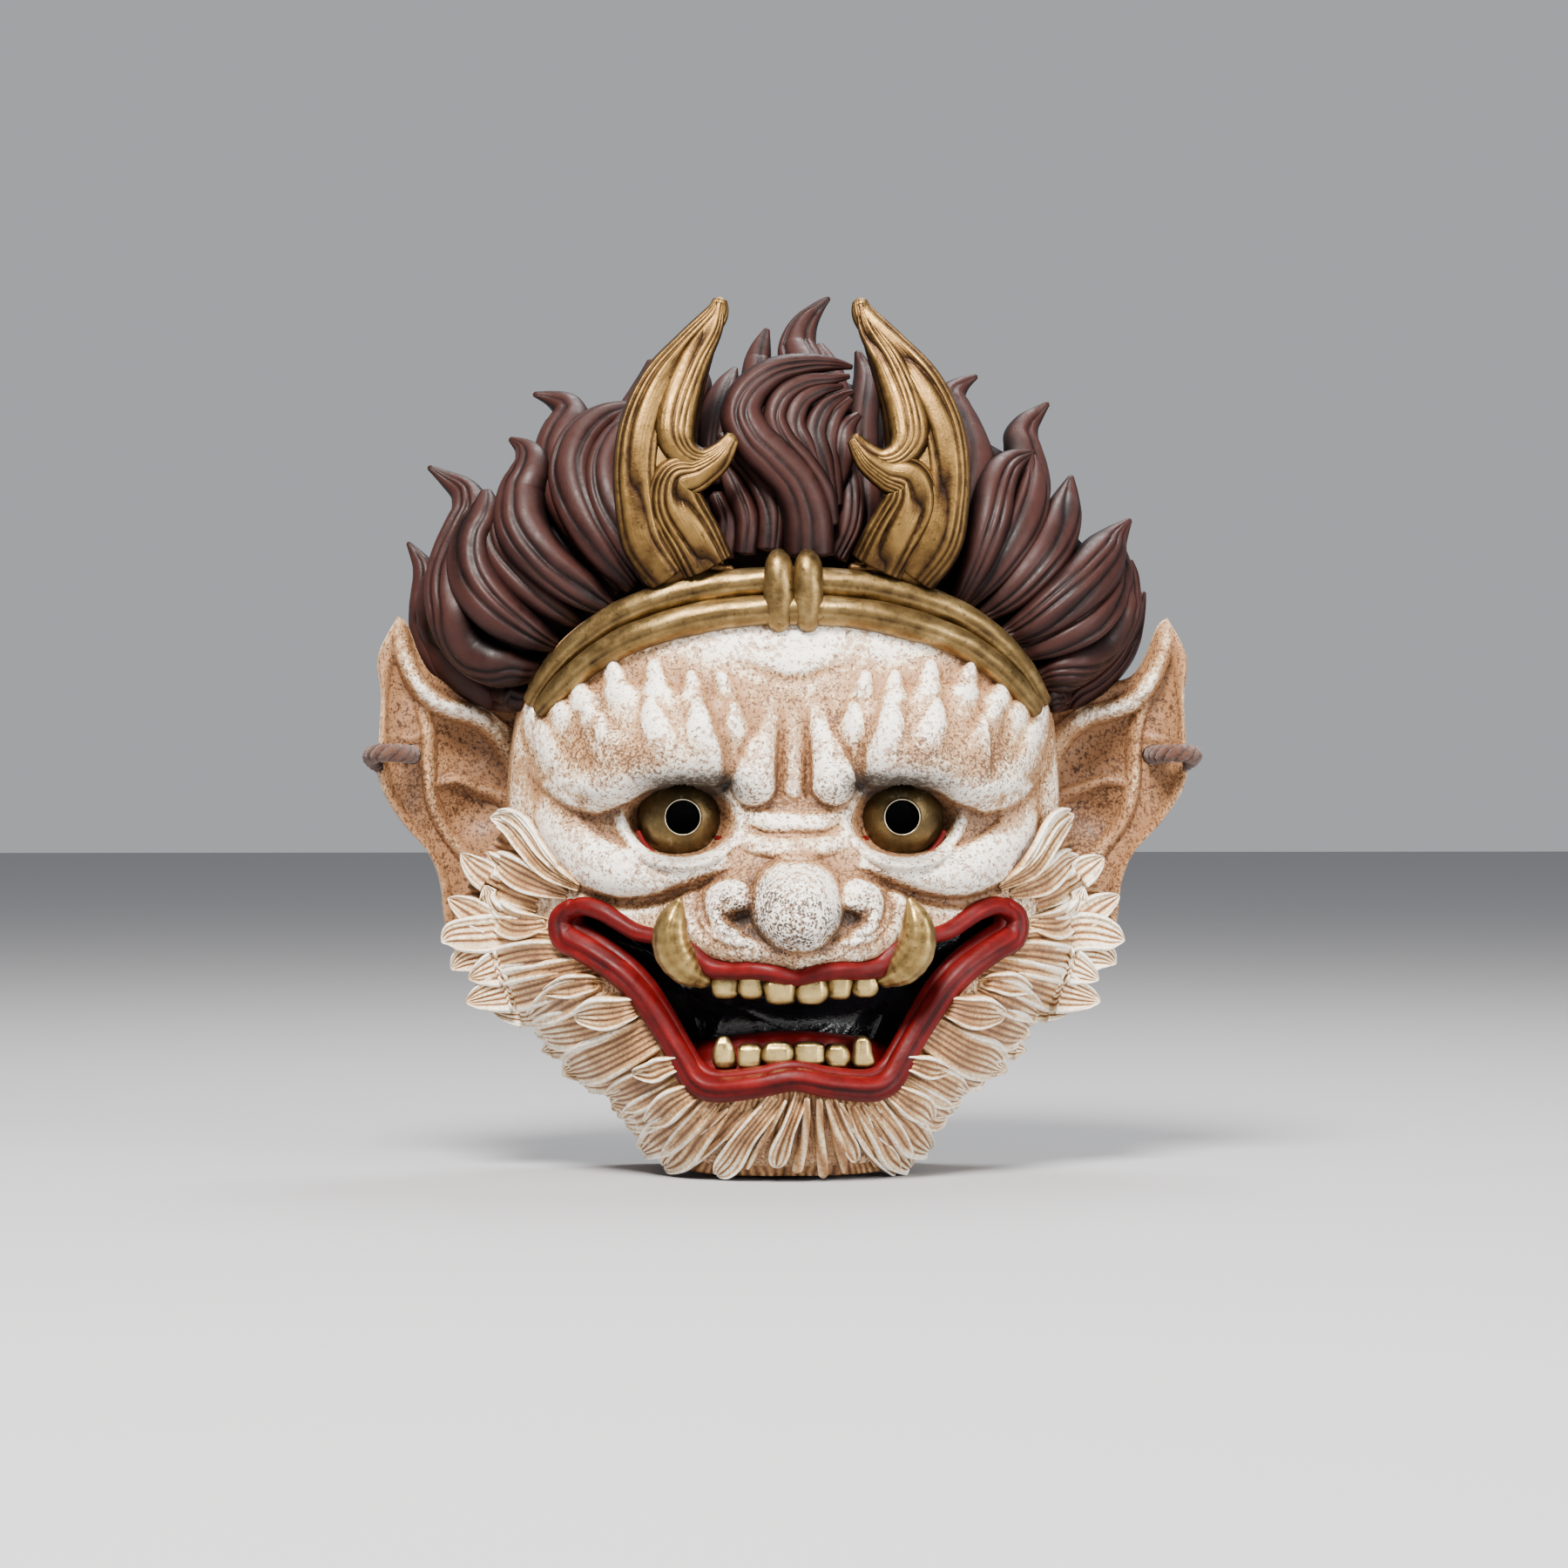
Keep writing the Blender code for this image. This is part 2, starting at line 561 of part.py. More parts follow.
def cord_object(name, group, material):
    """A round cord on a poly line that is read from one smooth curve."""
    left = list(CORD_ROUTE)
    whole = left + [(-x, depth, z) for x, depth, z in reversed(left[:-1])]
    curve = bpy.data.curves.new(name, "CURVE")
    curve.dimensions = "3D"
    curve.bevel_depth = CORD_RADIUS * MM
    curve.bevel_resolution = 2
    curve.use_fill_caps = True
    line = curve.splines.new("POLY")
    places = spline(whole, CORD_POINTS)
    line.points.add(len(places) - 1)
    for node, place in zip(line.points, places):
        node.co = (*point(*place), 1.0)
    curve.materials.append(material)
    obj = bpy.data.objects.new(name, curve)
    group.objects.link(obj)
    return obj


def knot_mesh(name, sign):
    bm = bmesh.new()
    bmesh.ops.create_uvsphere(bm, u_segments=12, v_segments=8, radius=KNOT_RADIUS * MM)
    bmesh.ops.translate(bm, verts=bm.verts, vec=point(sign * 107.5, 13.2, 10.0))
    return finish_mesh(name, bm)


def wrap_mesh(name, x, grow):
    depth = face_depth(0, 64) + 6.4
    stations = [(x, depth - 2.5, 53.8, 1.6), (x, depth - 0.6, 56.0, 3.3), (x, depth, 60.0, 3.8),
                (x, depth, 68.0, 3.8), (x, depth - 0.6, 73.0, 3.3), (x, depth - 2.5, 75.2, 1.6)]
    return sweep(name, stations, 10, 0.9, grow)


class Bench:
    """The collections that parts and cutters go in, and the paint for the parts."""

    def __init__(self):
        clear_scene()
        self.parts = make_collection("demon_mask")
        self.cutters = make_collection("cutters")
        self.paint = {name: make_material(name) for name in MATERIALS}

    def part(self, name, mesh, material):
        return new_object(name, mesh, self.paint[material], self.parts)

    def cutter(self, mesh):
        return new_cutter(mesh.name, mesh, self.cutters)


def build_lips(bench, shell):
    """The two lips lie on the edge of the open mouth; returns the upper one and the lower one's space."""
    lower_line = lip_stations(LOWER_LIP, 0.6, 4.0, 31)
    upper_line = lip_stations(UPPER_LIP, 0.4, 2.1, 29)
    bench.part("lower_lip", sweep("lower_lip", lower_line, 10, 1.0), "lip_red")
    upper_lip = bench.part("upper_lip", sweep("upper_lip", upper_line, 8, 1.1), "lip_red")
    lower_space = bench.cutter(sweep("lower_lip_space", lower_line, 10, 1.0, GAP))
    upper_space = bench.cutter(sweep("upper_lip_space", upper_line, 8, 1.1, GAP))
    cut(shell, lower_space)
    cut(shell, upper_space)
    return upper_lip, lower_space


def build_band(bench, shell):
    """Two rolls with two wraps over them in the middle; returns the upper roll's space and the wraps'."""
    wraps = []
    for side, sign in SIDES:
        bench.part("band_wrap_" + side, wrap_mesh("band_wrap_" + side, sign * WRAP_X, 0.0), "band_brass")
        wraps.append(bench.cutter(wrap_mesh("band_wrap_space_" + side, sign * WRAP_X, GAP)))
    spaces = []
    for name, line in (("headband_upper_roll", UPPER_ROLL), ("headband_lower_roll", LOWER_ROLL)):
        stations = roll_stations(line)
        roll = bench.part(name, sweep(name, stations, 10, 1.0), "band_brass")
        space = bench.cutter(sweep(name + "_space", stations, 10, 1.0, GAP))
        spaces.append(space)
        cut(shell, space)
        for wrap in wraps:
            cut(roll, wrap)
    for wrap in wraps:
        cut(shell, wrap)
    return spaces[0], wraps


def build_hair(bench, block, roll_space, wraps):
    """A left fan, a crown and a right fan, and the curl that lies over the crown, in that order."""
    side_roots = [(x - 2.5, z - 1.5) for x, z in SHELL_OUTLINE[2:7]]
    left_roots = [(-x, z) for x, z in reversed(side_roots)]
    crown_roots = [(-32.2, 66.5), (0, 69.5), (32.2, 66.5)]
    fans = (("hair_left", HAIR_LEFT, left_roots, 2, 29), ("hair_crown", HAIR_CROWN, crown_roots, -6, 30),
            ("hair_right", HAIR_RIGHT, side_roots, 2, 29))
    left, crown, right = [bench.part(fan[0], hair_mesh(*fan), "hair_brown") for fan in fans]
    curl = bench.part("hair_curl", sweep("hair_curl", spline(CURL, 14), 10, 0.75), "hair_brown")
    curl_space = bench.cutter(sweep("hair_curl_space", spline(CURL, 14), 10, 0.75, GAP))
    for hair in (left, crown, right):
        cut(hair, block)
        cut(hair, roll_space)
        cut(hair, curl_space)
    for wrap in wraps:
        cut(crown, wrap)
        cut(curl, wrap)
    return left, crown, right, curl


def build_horns(bench, block, roll_space, hair):
    """Horns, each a stem with a side prong, which stand in front of the hair."""
    left, crown, right, curl = hair
    for side, sign in SIDES:
        stem = spline([(sign * x, depth, z, half) for x, depth, z, half in HORN], 16)
        prong = spline([(sign * x, depth, z, half) for x, depth, z, half in PRONG], 8)
        horn = bench.part("horn_" + side, sweep("horn_" + side, stem, 12, 0.62), "horn_gold")
        join(horn, bench.cutter(sweep("prong_" + side, prong, 10, 0.8)))
        stem_space = bench.cutter(sweep("horn_space_" + side, stem, 12, 0.62, GAP))
        prong_space = bench.cutter(sweep("prong_space_" + side, prong, 10, 0.8, GAP))
        cut(horn, roll_space)
        cut(horn, block)
        for piece in (left if sign < 0 else right, crown, curl):
            cut(piece, stem_space)
            cut(piece, prong_space)


def build_ears(bench, block):
    """Ears, each with a slot and an edge notch for the cord."""
    for side, sign in SIDES:
        ear = bench.part("ear_" + side, ear_mesh("ear_" + side, sign), "ivory")
        cut(ear, block)
        low_x = sign * SLOT_X - SLOT_WIDTH / 2
        slot = box_mesh("slot_" + side, (low_x, -CLEAR, SLOT_Z - SLOT_HEIGHT / 2),
                        (low_x + SLOT_WIDTH, CLEAR, SLOT_Z + SLOT_HEIGHT / 2))
        cut(ear, bench.cutter(slot))
        edge = sorted((sign * EAR_NOTCH_X, sign * CLEAR))
        notch = box_mesh("edge_notch_" + side, (edge[0], -CLEAR, EAR_NOTCH_Z[0]),
                         (edge[1], CLEAR, EAR_NOTCH_Z[1]))
        cut(ear, bench.cutter(notch))


def build_eyes(bench, shell):
    """Eyes with bored pupils, and a patch of the black film behind each."""
    for side, sign in SIDES:
        eye = bench.part("eye_" + side, eye_mesh("eye_" + side, sign * EYE_X, 0.0), "eye_brass")
        cut(eye, bench.cutter(pupil_mesh("pupil_" + side, sign * EYE_X)))
        cut(shell, bench.cutter(eye_mesh("eye_space_" + side, sign * EYE_X, GAP)))
        bench.part("eye_film_" + side, eye_film_mesh("eye_film_" + side, sign * EYE_X), "liner_black")


def build_tusks(bench, shell, upper_lip):
    """Tusks stand over the mouth's edge."""
    for side, sign in SIDES:
        stations = spline([(sign * x, depth, z, half) for x, depth, z, half in TUSK], 12)
        bench.part("tusk_" + side, sweep("tusk_" + side, stations, 8, 0.9), "tooth_gold")
        space = bench.cutter(sweep("tusk_space_" + side, stations, 8, 0.9, GAP))
        cut(shell, space)
        cut(upper_lip, space)


def build_teeth(bench):
    """Six teeth above and six below; the middle pair is wider and the outer pair below stands higher."""
    for i, x in enumerate(TOOTH_X):
        middle = abs(x) < 10
        width = TOOTH_WIDTH[0] if middle else TOOTH_WIDTH[1]
        top = UPPER_TOOTH_TOP[0] if middle else UPPER_TOOTH_TOP[1]
        depth = face_depth(x, UPPER_ROW_Z) - UPPER_ROW_SET
        name = "upper_tooth_%d" % (i + 1)
        bench.part(name, tooth_mesh(name, x, top, UPPER_TOOTH_FOOT, width, depth), "tooth_gold")
        top = LOWER_TOOTH_TOP[1] if abs(x) > 15 else LOWER_TOOTH_TOP[0]
        foot = LOWER_TOOTH_FOOT - LOWER_ROW_DROP * ramp(abs(x), 2, 20)
        depth = face_depth(x, LOWER_ROW_Z) - LOWER_ROW_SET
        name = "lower_tooth_%d" % (i + 1)
        bench.part(name, tooth_mesh(name, x, top, foot, width, depth), "tooth_gold")


def build_gum(bench):
    """A bar of gum just behind the lower row of teeth."""
    line = [(x, face_depth(x, LOWER_ROW_Z) - GUM_SET, GUM_Z, GUM_HALF) for x in (-26, -18, -9, 0, 9, 18, 26)]
    bench.part("lower_gum", sweep("lower_gum", spline(line, 13), 8, 0.8), "lip_red")


def build_beard(bench, block, lip_space):
    """Beard: two sides and the chin."""
    beards = [bench.part("beard_chin", beard_mesh("beard_chin", CHIN_OUTER, CHIN_INNER, 5.0), "ivory")]
    for side, sign in SIDES:
        outer = [(sign * x, z) for x, z in BEARD_SIDE]
        inner = [(sign * x, z) for x, z in BEARD_INNER]
        beards.append(bench.part("beard_" + side, beard_mesh("beard_" + side, outer, inner, 6.0), "ivory"))
    for beard in beards:
        cut(beard, block)
        cut(beard, lip_space)


def main():
    bench = Bench()
    block = bench.cutter(shell_block_mesh())
    shell = bench.part("face_shell", loft("face_shell", shell_rings()), "ivory")
    cut(shell, bench.cutter(mouth_prism()))
    upper_lip, lip_space = build_lips(bench, shell)
    roll_space, wraps = build_band(bench, shell)
    hair = build_hair(bench, block, roll_space, wraps)
    build_horns(bench, block, roll_space, hair)
    build_ears(bench, block)
    build_eyes(bench, shell)
    build_tusks(bench, shell, upper_lip)
    build_teeth(bench)
    build_gum(bench)
    bench.part("mouth_liner", liner_mesh(), "liner_black")
    build_beard(bench, block, lip_space)
    for side, sign in SIDES:
        bench.part("cord_knot_" + side, knot_mesh("cord_knot_" + side, sign), "cord_brown")
    cord_object("tie_cord", bench.parts, bench.paint["cord_brown"])


main()
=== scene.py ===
"""Looks of the folk demon mask. Lengths here are millimetres and become metres through MM;
places are (X, depth, Z), where depth is the distance in front of the rim plane, so Y = -depth."""
import math

import bmesh
import bpy
import numpy as np
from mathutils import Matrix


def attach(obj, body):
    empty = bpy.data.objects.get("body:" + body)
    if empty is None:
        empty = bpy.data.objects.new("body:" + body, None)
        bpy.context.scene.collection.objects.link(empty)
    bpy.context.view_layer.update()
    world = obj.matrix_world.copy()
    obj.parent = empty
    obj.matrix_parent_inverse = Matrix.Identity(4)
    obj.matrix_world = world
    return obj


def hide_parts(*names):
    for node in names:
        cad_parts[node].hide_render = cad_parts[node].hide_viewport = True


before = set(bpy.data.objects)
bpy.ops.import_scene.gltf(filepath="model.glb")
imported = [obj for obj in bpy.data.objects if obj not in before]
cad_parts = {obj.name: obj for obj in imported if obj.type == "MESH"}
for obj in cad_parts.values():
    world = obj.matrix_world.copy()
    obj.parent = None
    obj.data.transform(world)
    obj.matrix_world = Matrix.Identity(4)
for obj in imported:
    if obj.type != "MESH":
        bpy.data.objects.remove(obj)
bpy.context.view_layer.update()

MM = 0.001
SIDES = (("left", -1.0), ("right", 1.0))

# ---------------------------------------------------------------- camera, light and floor

CAMERA_DISTANCE = 1260.0
CAMERA_TURN = math.radians(3.25)      # the camera stands a little to the left
CAMERA_HEIGHT = 9.5
AIM = (-1.8, 60.0)                    # X and depth of the point the camera turns about
FLOOR_Z = -105.2


def add_camera():
    data = bpy.data.cameras.new("view")
    data.lens = 100.0
    data.sensor_width = 36.0
    camera = bpy.data.objects.new("view", data)
    x = AIM[0] - CAMERA_DISTANCE * math.sin(CAMERA_TURN)
    y = -AIM[1] - CAMERA_DISTANCE * math.cos(CAMERA_TURN)
    camera.location = (x * MM, y * MM, CAMERA_HEIGHT * MM)
    camera.rotation_euler = (math.pi / 2, 0.0, -CAMERA_TURN)
    bpy.context.scene.collection.objects.link(camera)
    bpy.context.scene.camera = camera


def add_light(name, location, aim, size, power, colour=(1.0, 1.0, 1.0)):
    data = bpy.data.lights.new(name, "AREA")
    data.shape = "DISK"
    data.size = size
    data.energy = power
    data.color = colour
    lamp = bpy.data.objects.new(name, data)
    lamp.location = location
    towards = np.array(aim) - np.array(location)
    flat = math.hypot(towards[0], towards[1])
    lamp.rotation_euler = (math.atan2(flat, -towards[2]), 0.0, math.atan2(-towards[0], towards[1]))
    bpy.context.scene.collection.objects.link(lamp)


def add_stage():
    floor_mesh = bpy.data.meshes.new("floor")
    reach = 6.0
    floor_mesh.from_pydata([(-reach, -reach, 0), (reach, -reach, 0), (reach, reach, 0), (-reach, reach, 0)],
                           [], [(0, 1, 2, 3)])
    floor = bpy.data.objects.new("floor", floor_mesh)
    floor.location = (0, 0, FLOOR_Z * MM)
    bpy.context.scene.collection.objects.link(floor)
    material = bpy.data.materials.new("floor")
    material.use_nodes = True
    shader = material.node_tree.nodes["Principled BSDF"]
    shader.inputs["Base Color"].default_value = (0.36, 0.36, 0.37, 1)
    shader.inputs["Roughness"].default_value = 0.9
    floor_mesh.materials.append(material)
    world = bpy.data.worlds.new("studio")
    world.use_nodes = True
    world.node_tree.nodes["Background"].inputs[0].default_value = (0.72, 0.74, 0.78, 1)
    world.node_tree.nodes["Background"].inputs[1].default_value = 0.58
    bpy.context.scene.world = world
    add_light("key", (-0.25, -0.95, 1.05), (0, -0.05, 0.02), 0.50, 80.0, (1.0, 0.955, 0.91))
    add_light("fill", (0.95, -0.95, 0.30), (0, -0.05, 0.0), 0.7, 18.0)
    add_light("crown", (0.15, 0.35, 0.95), (0, -0.02, 0.08), 0.5, 13.0)


add_camera()
add_stage()

# ---------------------------------------------------------------- shape tools


def ramp(value, start, end):
    t = np.clip((np.asarray(value, float) - start) / (end - start), 0.0, 1.0)
    return t * t * (3.0 - 2.0 * t)


def bump(x, z, middle_x, middle_z, reach_x, reach_z):
    return np.exp(-((x - middle_x) / reach_x) ** 2 - ((z - middle_z) / reach_z) ** 2)


def raised(field, x, z, bumps):
    """The field with soft bumps added; rows are (height, middle X, middle Z, reach X, reach Z)."""
    for height, *place in bumps:
        field = field + height * bump(x, z, *place)
    return field


def place_rows(x, depth, z):
    """Rows of (X, depth, Z) from grids."""
    return np.stack(np.broadcast_arrays(x, depth, z), axis=-1).reshape(-1, 3)


def mirrored(line, sign):
    """Rows with their X times sign."""
    return [(sign * p[0], *p[1:]) for p in line]


def whole_line(half):
    """A line that ends in the middle of the mask, and its mirror image after it."""
    half = [tuple(p) for p in half]
    return half + mirrored(reversed(half[:-1]), -1)


def distances(points):
    """How far along a line of points each one lies."""
    return np.concatenate([[0.0], np.cumsum(np.linalg.norm(np.diff(points, axis=0), axis=1))])


def spline(points, count, measured=3):
    """Evenly spaced rows on a smooth curve; the first columns set its length, the others ride along."""
    p = np.asarray(points, float)
    padded = np.vstack([p[:1], p, p[-1:]])
    steps = np.linspace(0, 1, 25)[:-1, None]
    dense = []
    for i in range(len(p) - 1):
        a, b, c, d = padded[i:i + 4]
        dense.append(0.5 * (2 * b + (c - a) * steps + (2 * a - 5 * b + 4 * c - d) * steps ** 2
                            + (3 * b - a - 3 * c + d) * steps ** 3))
    dense = np.vstack(dense + [p[-1:]])
    travelled = distances(dense[:, :measured])
    goals = np.linspace(0.0, travelled[-1], count)
    return np.column_stack([np.interp(goals, travelled, column) for column in dense.T])


def smooth_noise(x, y, z, seed, size):
    """Soft repeatable noise from -1 to 1 with features of about the given size."""
    rng = np.random.default_rng(seed)
    total = np.zeros_like(np.asarray(x, float))
    for _ in range(7):
        wave = rng.normal(size=3)
        wave /= np.linalg.norm(wave)
        rate = 2 * math.pi / size * rng.uniform(0.6, 1.5)
        total = total + np.sin((x * wave[0] + y * wave[1] + z * wave[2]) * rate + rng.uniform(0, 6.28))
    return total / 3.2


def face_outward(mesh):
    solid = bmesh.new()
    solid.from_mesh(mesh)
    bmesh.ops.recalc_face_normals(solid, faces=solid.faces)
    solid.to_mesh(mesh)
    solid.free()


class Bag:
    """Collects lofted pieces into one mesh; each point has a ridge value (shade) and an amount of painted
    shade (extra).
    """

    def __init__(self):
        self.points = []
        self.faces = []
        self.shade = []
        self.extra = []
        self.count = 0

    def add(self, points, faces, shade, extra=None):
        self.points.append(points)
        self.faces.append([f + self.count for f in faces])
        self.shade.append(shade)
        self.extra.append(np.zeros(len(points)) if extra is None else extra)
        self.count += len(points)

    def build(self, name, material, nodes):
        points = np.vstack(self.points)
        faces = [f for group in self.faces for f in group]
        sizes = np.concatenate([np.full(len(f), f.shape[1]) for f in faces])
        loops = np.concatenate([f.ravel() for f in faces]).astype(np.int32)
        mesh = bpy.data.meshes.new(name)
        mesh.vertices.add(len(points))
        metres = np.column_stack([points[:, 0], -points[:, 1], points[:, 2]]) * MM
        mesh.vertices.foreach_set("co", metres.ravel())
        mesh.loops.add(len(loops))
        mesh.loops.foreach_set("vertex_index", loops)
        mesh.polygons.add(len(sizes))
        starts = np.concatenate([[0], np.cumsum(sizes)[:-1]]).astype(np.int32)
        mesh.polygons.foreach_set("loop_start", starts)
        mesh.update(calc_edges=True)
        mesh.validate()
        face_outward(mesh)
        for label, values in (("ridge", self.shade), ("painted_shade_amount", self.extra)):
            layer = mesh.attributes.new(label, "FLOAT", "POINT")
            layer.data.foreach_set("value", np.concatenate(values).astype(np.float32))
        mesh.shade_smooth()
        mesh.materials.append(material)
        piece = bpy.data.objects.new(name, mesh)
        bpy.context.scene.collection.objects.link(piece)
        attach(piece, "root")
        if nodes:
            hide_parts(*nodes)
        return piece


def grid_faces(rows, columns, wrap=False):
    """Quads over a grid of points; wrap joins the last column to the first."""
    across = columns if wrap else columns - 1
    i, j = np.meshgrid(np.arange(rows - 1), np.arange(across), indexing="ij")
    n = (j + 1) % columns
    return np.column_stack([(i * columns + j).ravel(), (i * columns + n).ravel(),
                            ((i + 1) * columns + n).ravel(), ((i + 1) * columns + j).ravel()])


def fan(centre, ring, flip=False):
    after = np.roll(ring, -1)
    rows = np.column_stack([np.full(len(ring), centre), ring, after])
    return rows[:, ::-1] if flip else rows


def unit(v):
    return v / np.maximum(np.linalg.norm(v, axis=-1, keepdims=True), 1e-9)


def sections(centre, across, outward, wide, tall):
    """Points of a sweep; each row of wide and tall holds one section's places across and outward."""
    return (centre[:, None, :] + across[:, None, :] * wide[..., None]
            + outward[:, None, :] * tall[..., None]).reshape(-1, 3)


def add_feather(bag, points, columns, tip, root, shade):
    """Adds a sweep closed by a point at its tip and one at its root."""
    total = len(points)
    faces = [grid_faces(total // columns, columns, True), fan(total, np.arange(total - columns, total), True),
             fan(total + 1, np.arange(columns))]
    bag.add(np.vstack([points, tip, root]), faces, np.concatenate([shade.ravel(), [0.8, 0.2]]))


def add_rope(bag, points, sides, start, end, shade, end_shade):
    """Adds a round sweep closed by the first and the last point of its centre line."""
    total = len(points)
    faces = [grid_faces(total // sides, sides, True), fan(total, np.arange(sides)),
             fan(total + 1, np.arange(total - sides, total), True)]
    bag.add(np.vstack([points, start, end]), faces, np.concatenate([shade.ravel(), [end_shade, end_shade]]))


def lock(bag, line, thick, ridges, facing, stations, groove, back, fine, seed, wander, sharp):
    """A tapered strand with parallel grooves. line rows are (X, depth, Z, half width); thick is its height
    as a share of the half width; facing gives the outward direction at places; wander bends the grooves."""
    rows = spline(line, stations)
    centre = rows[:, :3]
    half = rows[:, 3]
    along = unit(np.gradient(centre, axis=0))
    outward = np.array([[0.0, 1.0, 0.0]]) if facing is None else facing(centre)
    across = unit(np.cross(along, np.broadcast_to(outward, along.shape)))
    outward = unit(np.cross(across, along))
    front = max(9, int(8 * ridges) + 3)
    t = np.linspace(-1, 1, front)
    u = 0.72 * t + 0.28 * np.sin(math.pi * t / 2)
    s = np.linspace(0, 1, stations)[:, None]
    arch = np.sqrt(np.clip(1 - u * u, 0, 1))[None, :]
    phase = ridges * (u + 1) / 2 + wander * ridges * np.sin(2.4 * u + seed + 2.2 * s) * (1 - u * u)
    wave = np.abs(np.sin(math.pi * phase)) ** sharp if ridges > 1 else np.ones((stations, front))
    cut = groove * (0.75 + 0.35 * np.sin(5 * s + seed * 2 + u)) * (1 - 0.6 * ramp(s, 0.8, 1.0))
    height = arch ** 0.8 * (1 - cut + cut * wave)
    height = height + fine * np.sin(u * ridges * 9 + seed) * np.sin(s * 13 + seed + 2 * u) * arch
    u_back = np.linspace(1, -1, 7)[1:-1]
    h_back = np.broadcast_to(-back * np.sqrt(1 - u_back ** 2), (stations, len(u_back)))
    # ridge value: lighter on the ridges, darker in the grooves and towards the strand's sides, and (below)
    # towards its root: painted shade where strands meet and where each comes out from under the others
    shade = np.hstack([wave * (0.35 + 0.65 * arch ** 0.5), np.full((stations, len(u_back)), 0.4)])
    u_all = np.concatenate([u, u_back])
    points = sections(centre, across, outward, half[:, None] * u_all[None, :],
                      half[:, None] * thick * np.hstack([height, h_back]))
    add_feather(bag, points, len(u_all), centre[-1] + along[-1] * half[-1] * 0.6,
                centre[0] - along[0] * half[0] * 0.2, shade * (0.6 + 0.4 * ramp(s, 0.0, 0.25)))


def tube(bag, line, flat, sides, stations, bulge=None):
    """A round-ended sweep of (X, depth, Z, half width) rows; bulge changes its radius round and along."""
    rows = spline(line, stations)
    cap = np.linspace(0, math.pi / 2, 6)[:-1]

    def rounded(end, direction, angles):
        return [np.r_[end[:3] + direction * end[3] * math.cos(a), max(end[3] * math.sin(a), 0.05)]
                for a in angles]

    rows = np.vstack([rounded(rows[0], -unit(rows[1, :3] - rows[0, :3]), cap), rows,
                      rounded(rows[-1], unit(rows[-1, :3] - rows[-2, :3]), cap[::-1])])
    centre = rows[:, :3]
    along = unit(np.gradient(centre, axis=0))
    across = unit(np.cross(along, np.broadcast_to(np.array([[0.0, 1.0, 0.0]]), along.shape)))
    outward = unit(np.cross(across, along))
    angle = np.linspace(0, 2 * math.pi, sides, endpoint=False)[None, :]
    s = np.linspace(0, 1, len(rows))[:, None]
    radius = rows[:, 3:4] * (np.ones_like(angle) if bulge is None else bulge(s, angle))
    ratio = radius / np.maximum(rows[:, 3:4], 1e-6)
    points = sections(centre, across, outward, radius * np.cos(angle), radius * np.sin(angle) * flat)
    add_rope(bag, points, sides, centre[0], centre[-1], np.clip(0.5 + (ratio - 1) * 3, 0, 1), 0.5)


def line_pieces(line, x, z):
    """For each piece of a line: the places' distance from it, its other columns there, and their side."""
    for a, b in zip(line[:-1], line[1:]):
        dx, dz = b[:2] - a[:2]
        t = np.clip(((x - a[0]) * dx + (z - a[1]) * dz) / (dx * dx + dz * dz + 1e-9), 0, 1)
        away = np.hypot(x - a[0] - dx * t, z - a[1] - dz * t)
        yield away, [p + (q - p) * t for p, q in zip(a[2:], b[2:])], dx * (z - a[1]) - dz * (x - a[0])


def stroke(x, z, line, power):
    """Height field of a soft ridge: rows are (X, Z, half width, height)."""
    rows = spline(line, 18, 2)
    widest = np.abs(rows[:, 2]).max()
    near = ((x > rows[:, 0].min() - widest) & (x < rows[:, 0].max() + widest)
            & (z > rows[:, 1].min() - widest) & (z < rows[:, 1].max() + widest))
    out = np.zeros_like(x)
    best = np.zeros_like(x[near])
    for away, (wide, high), _ in line_pieces(rows, x[near], z[near]):
        value = high * np.clip(1 - (away / wide) ** 2, 0, 1) ** power
        best = np.where(np.abs(value) > np.abs(best), value, best)
    out[near] = best
    return out


def stroked(field, x, z, strokes):
    """The field with soft ridges added and creases cut; rows are (sign, power, line)."""
    for sign, power, line in strokes:
        field = field + sign * stroke(x, z, line, power)
    return field


# ---------------------------------------------------------------- the CAD face, repeated

HALF_WIDTH = 86.0
SIDE_DEPTH = 18.0
DOME_RISE = 58.0
HUB = np.array([0.0, -12.0])
WALL = 5.0
SHELL_OUTLINE = ((0, 72), (20, 71), (36, 67.5), (50, 62.5), (63, 54), (73, 43), (79, 30), (81.5, 12),
                 (82, -6), (83.5, -22), (84, -36), (79, -50), (68, -64), (55, -78), (46, -90),
                 (39, -99), (22, -101.5), (0, -102))


def dome(x, z):
    side = np.abs(x)
    width = HALF_WIDTH - 34.0 * ramp(-z, 38, 106)
    rise = 1.0 - (side / width) ** 2.4 - (np.maximum(0.0, -10.0 - z) / 128.0) ** 3
    return SIDE_DEPTH + DOME_RISE * np.maximum(0.0, rise) ** 0.62 - 10.0 * ramp(z, 45, 75)


CAD_BUMPS = ((9.0, 34, 27, 30, 13), (6.0, 62, 12, 12, 14), (-7.0, 32, 0, 14, 11), (8.0, 52, -11, 18, 9),
             (7.0, 11.5, 12, 7, 10), (16.0, 0, -36, 26, 13), (24.0, 0, -23, 12.5, 13), (9.0, 0, -78, 34, 17))


def cad_face(x, z):
    return raised(dome(x, z), np.abs(x), z, CAD_BUMPS)


def face_at(x, z):
    """Depth of the CAD face at one place."""
    return float(cad_face(np.array([x]), np.array([z]))[0])


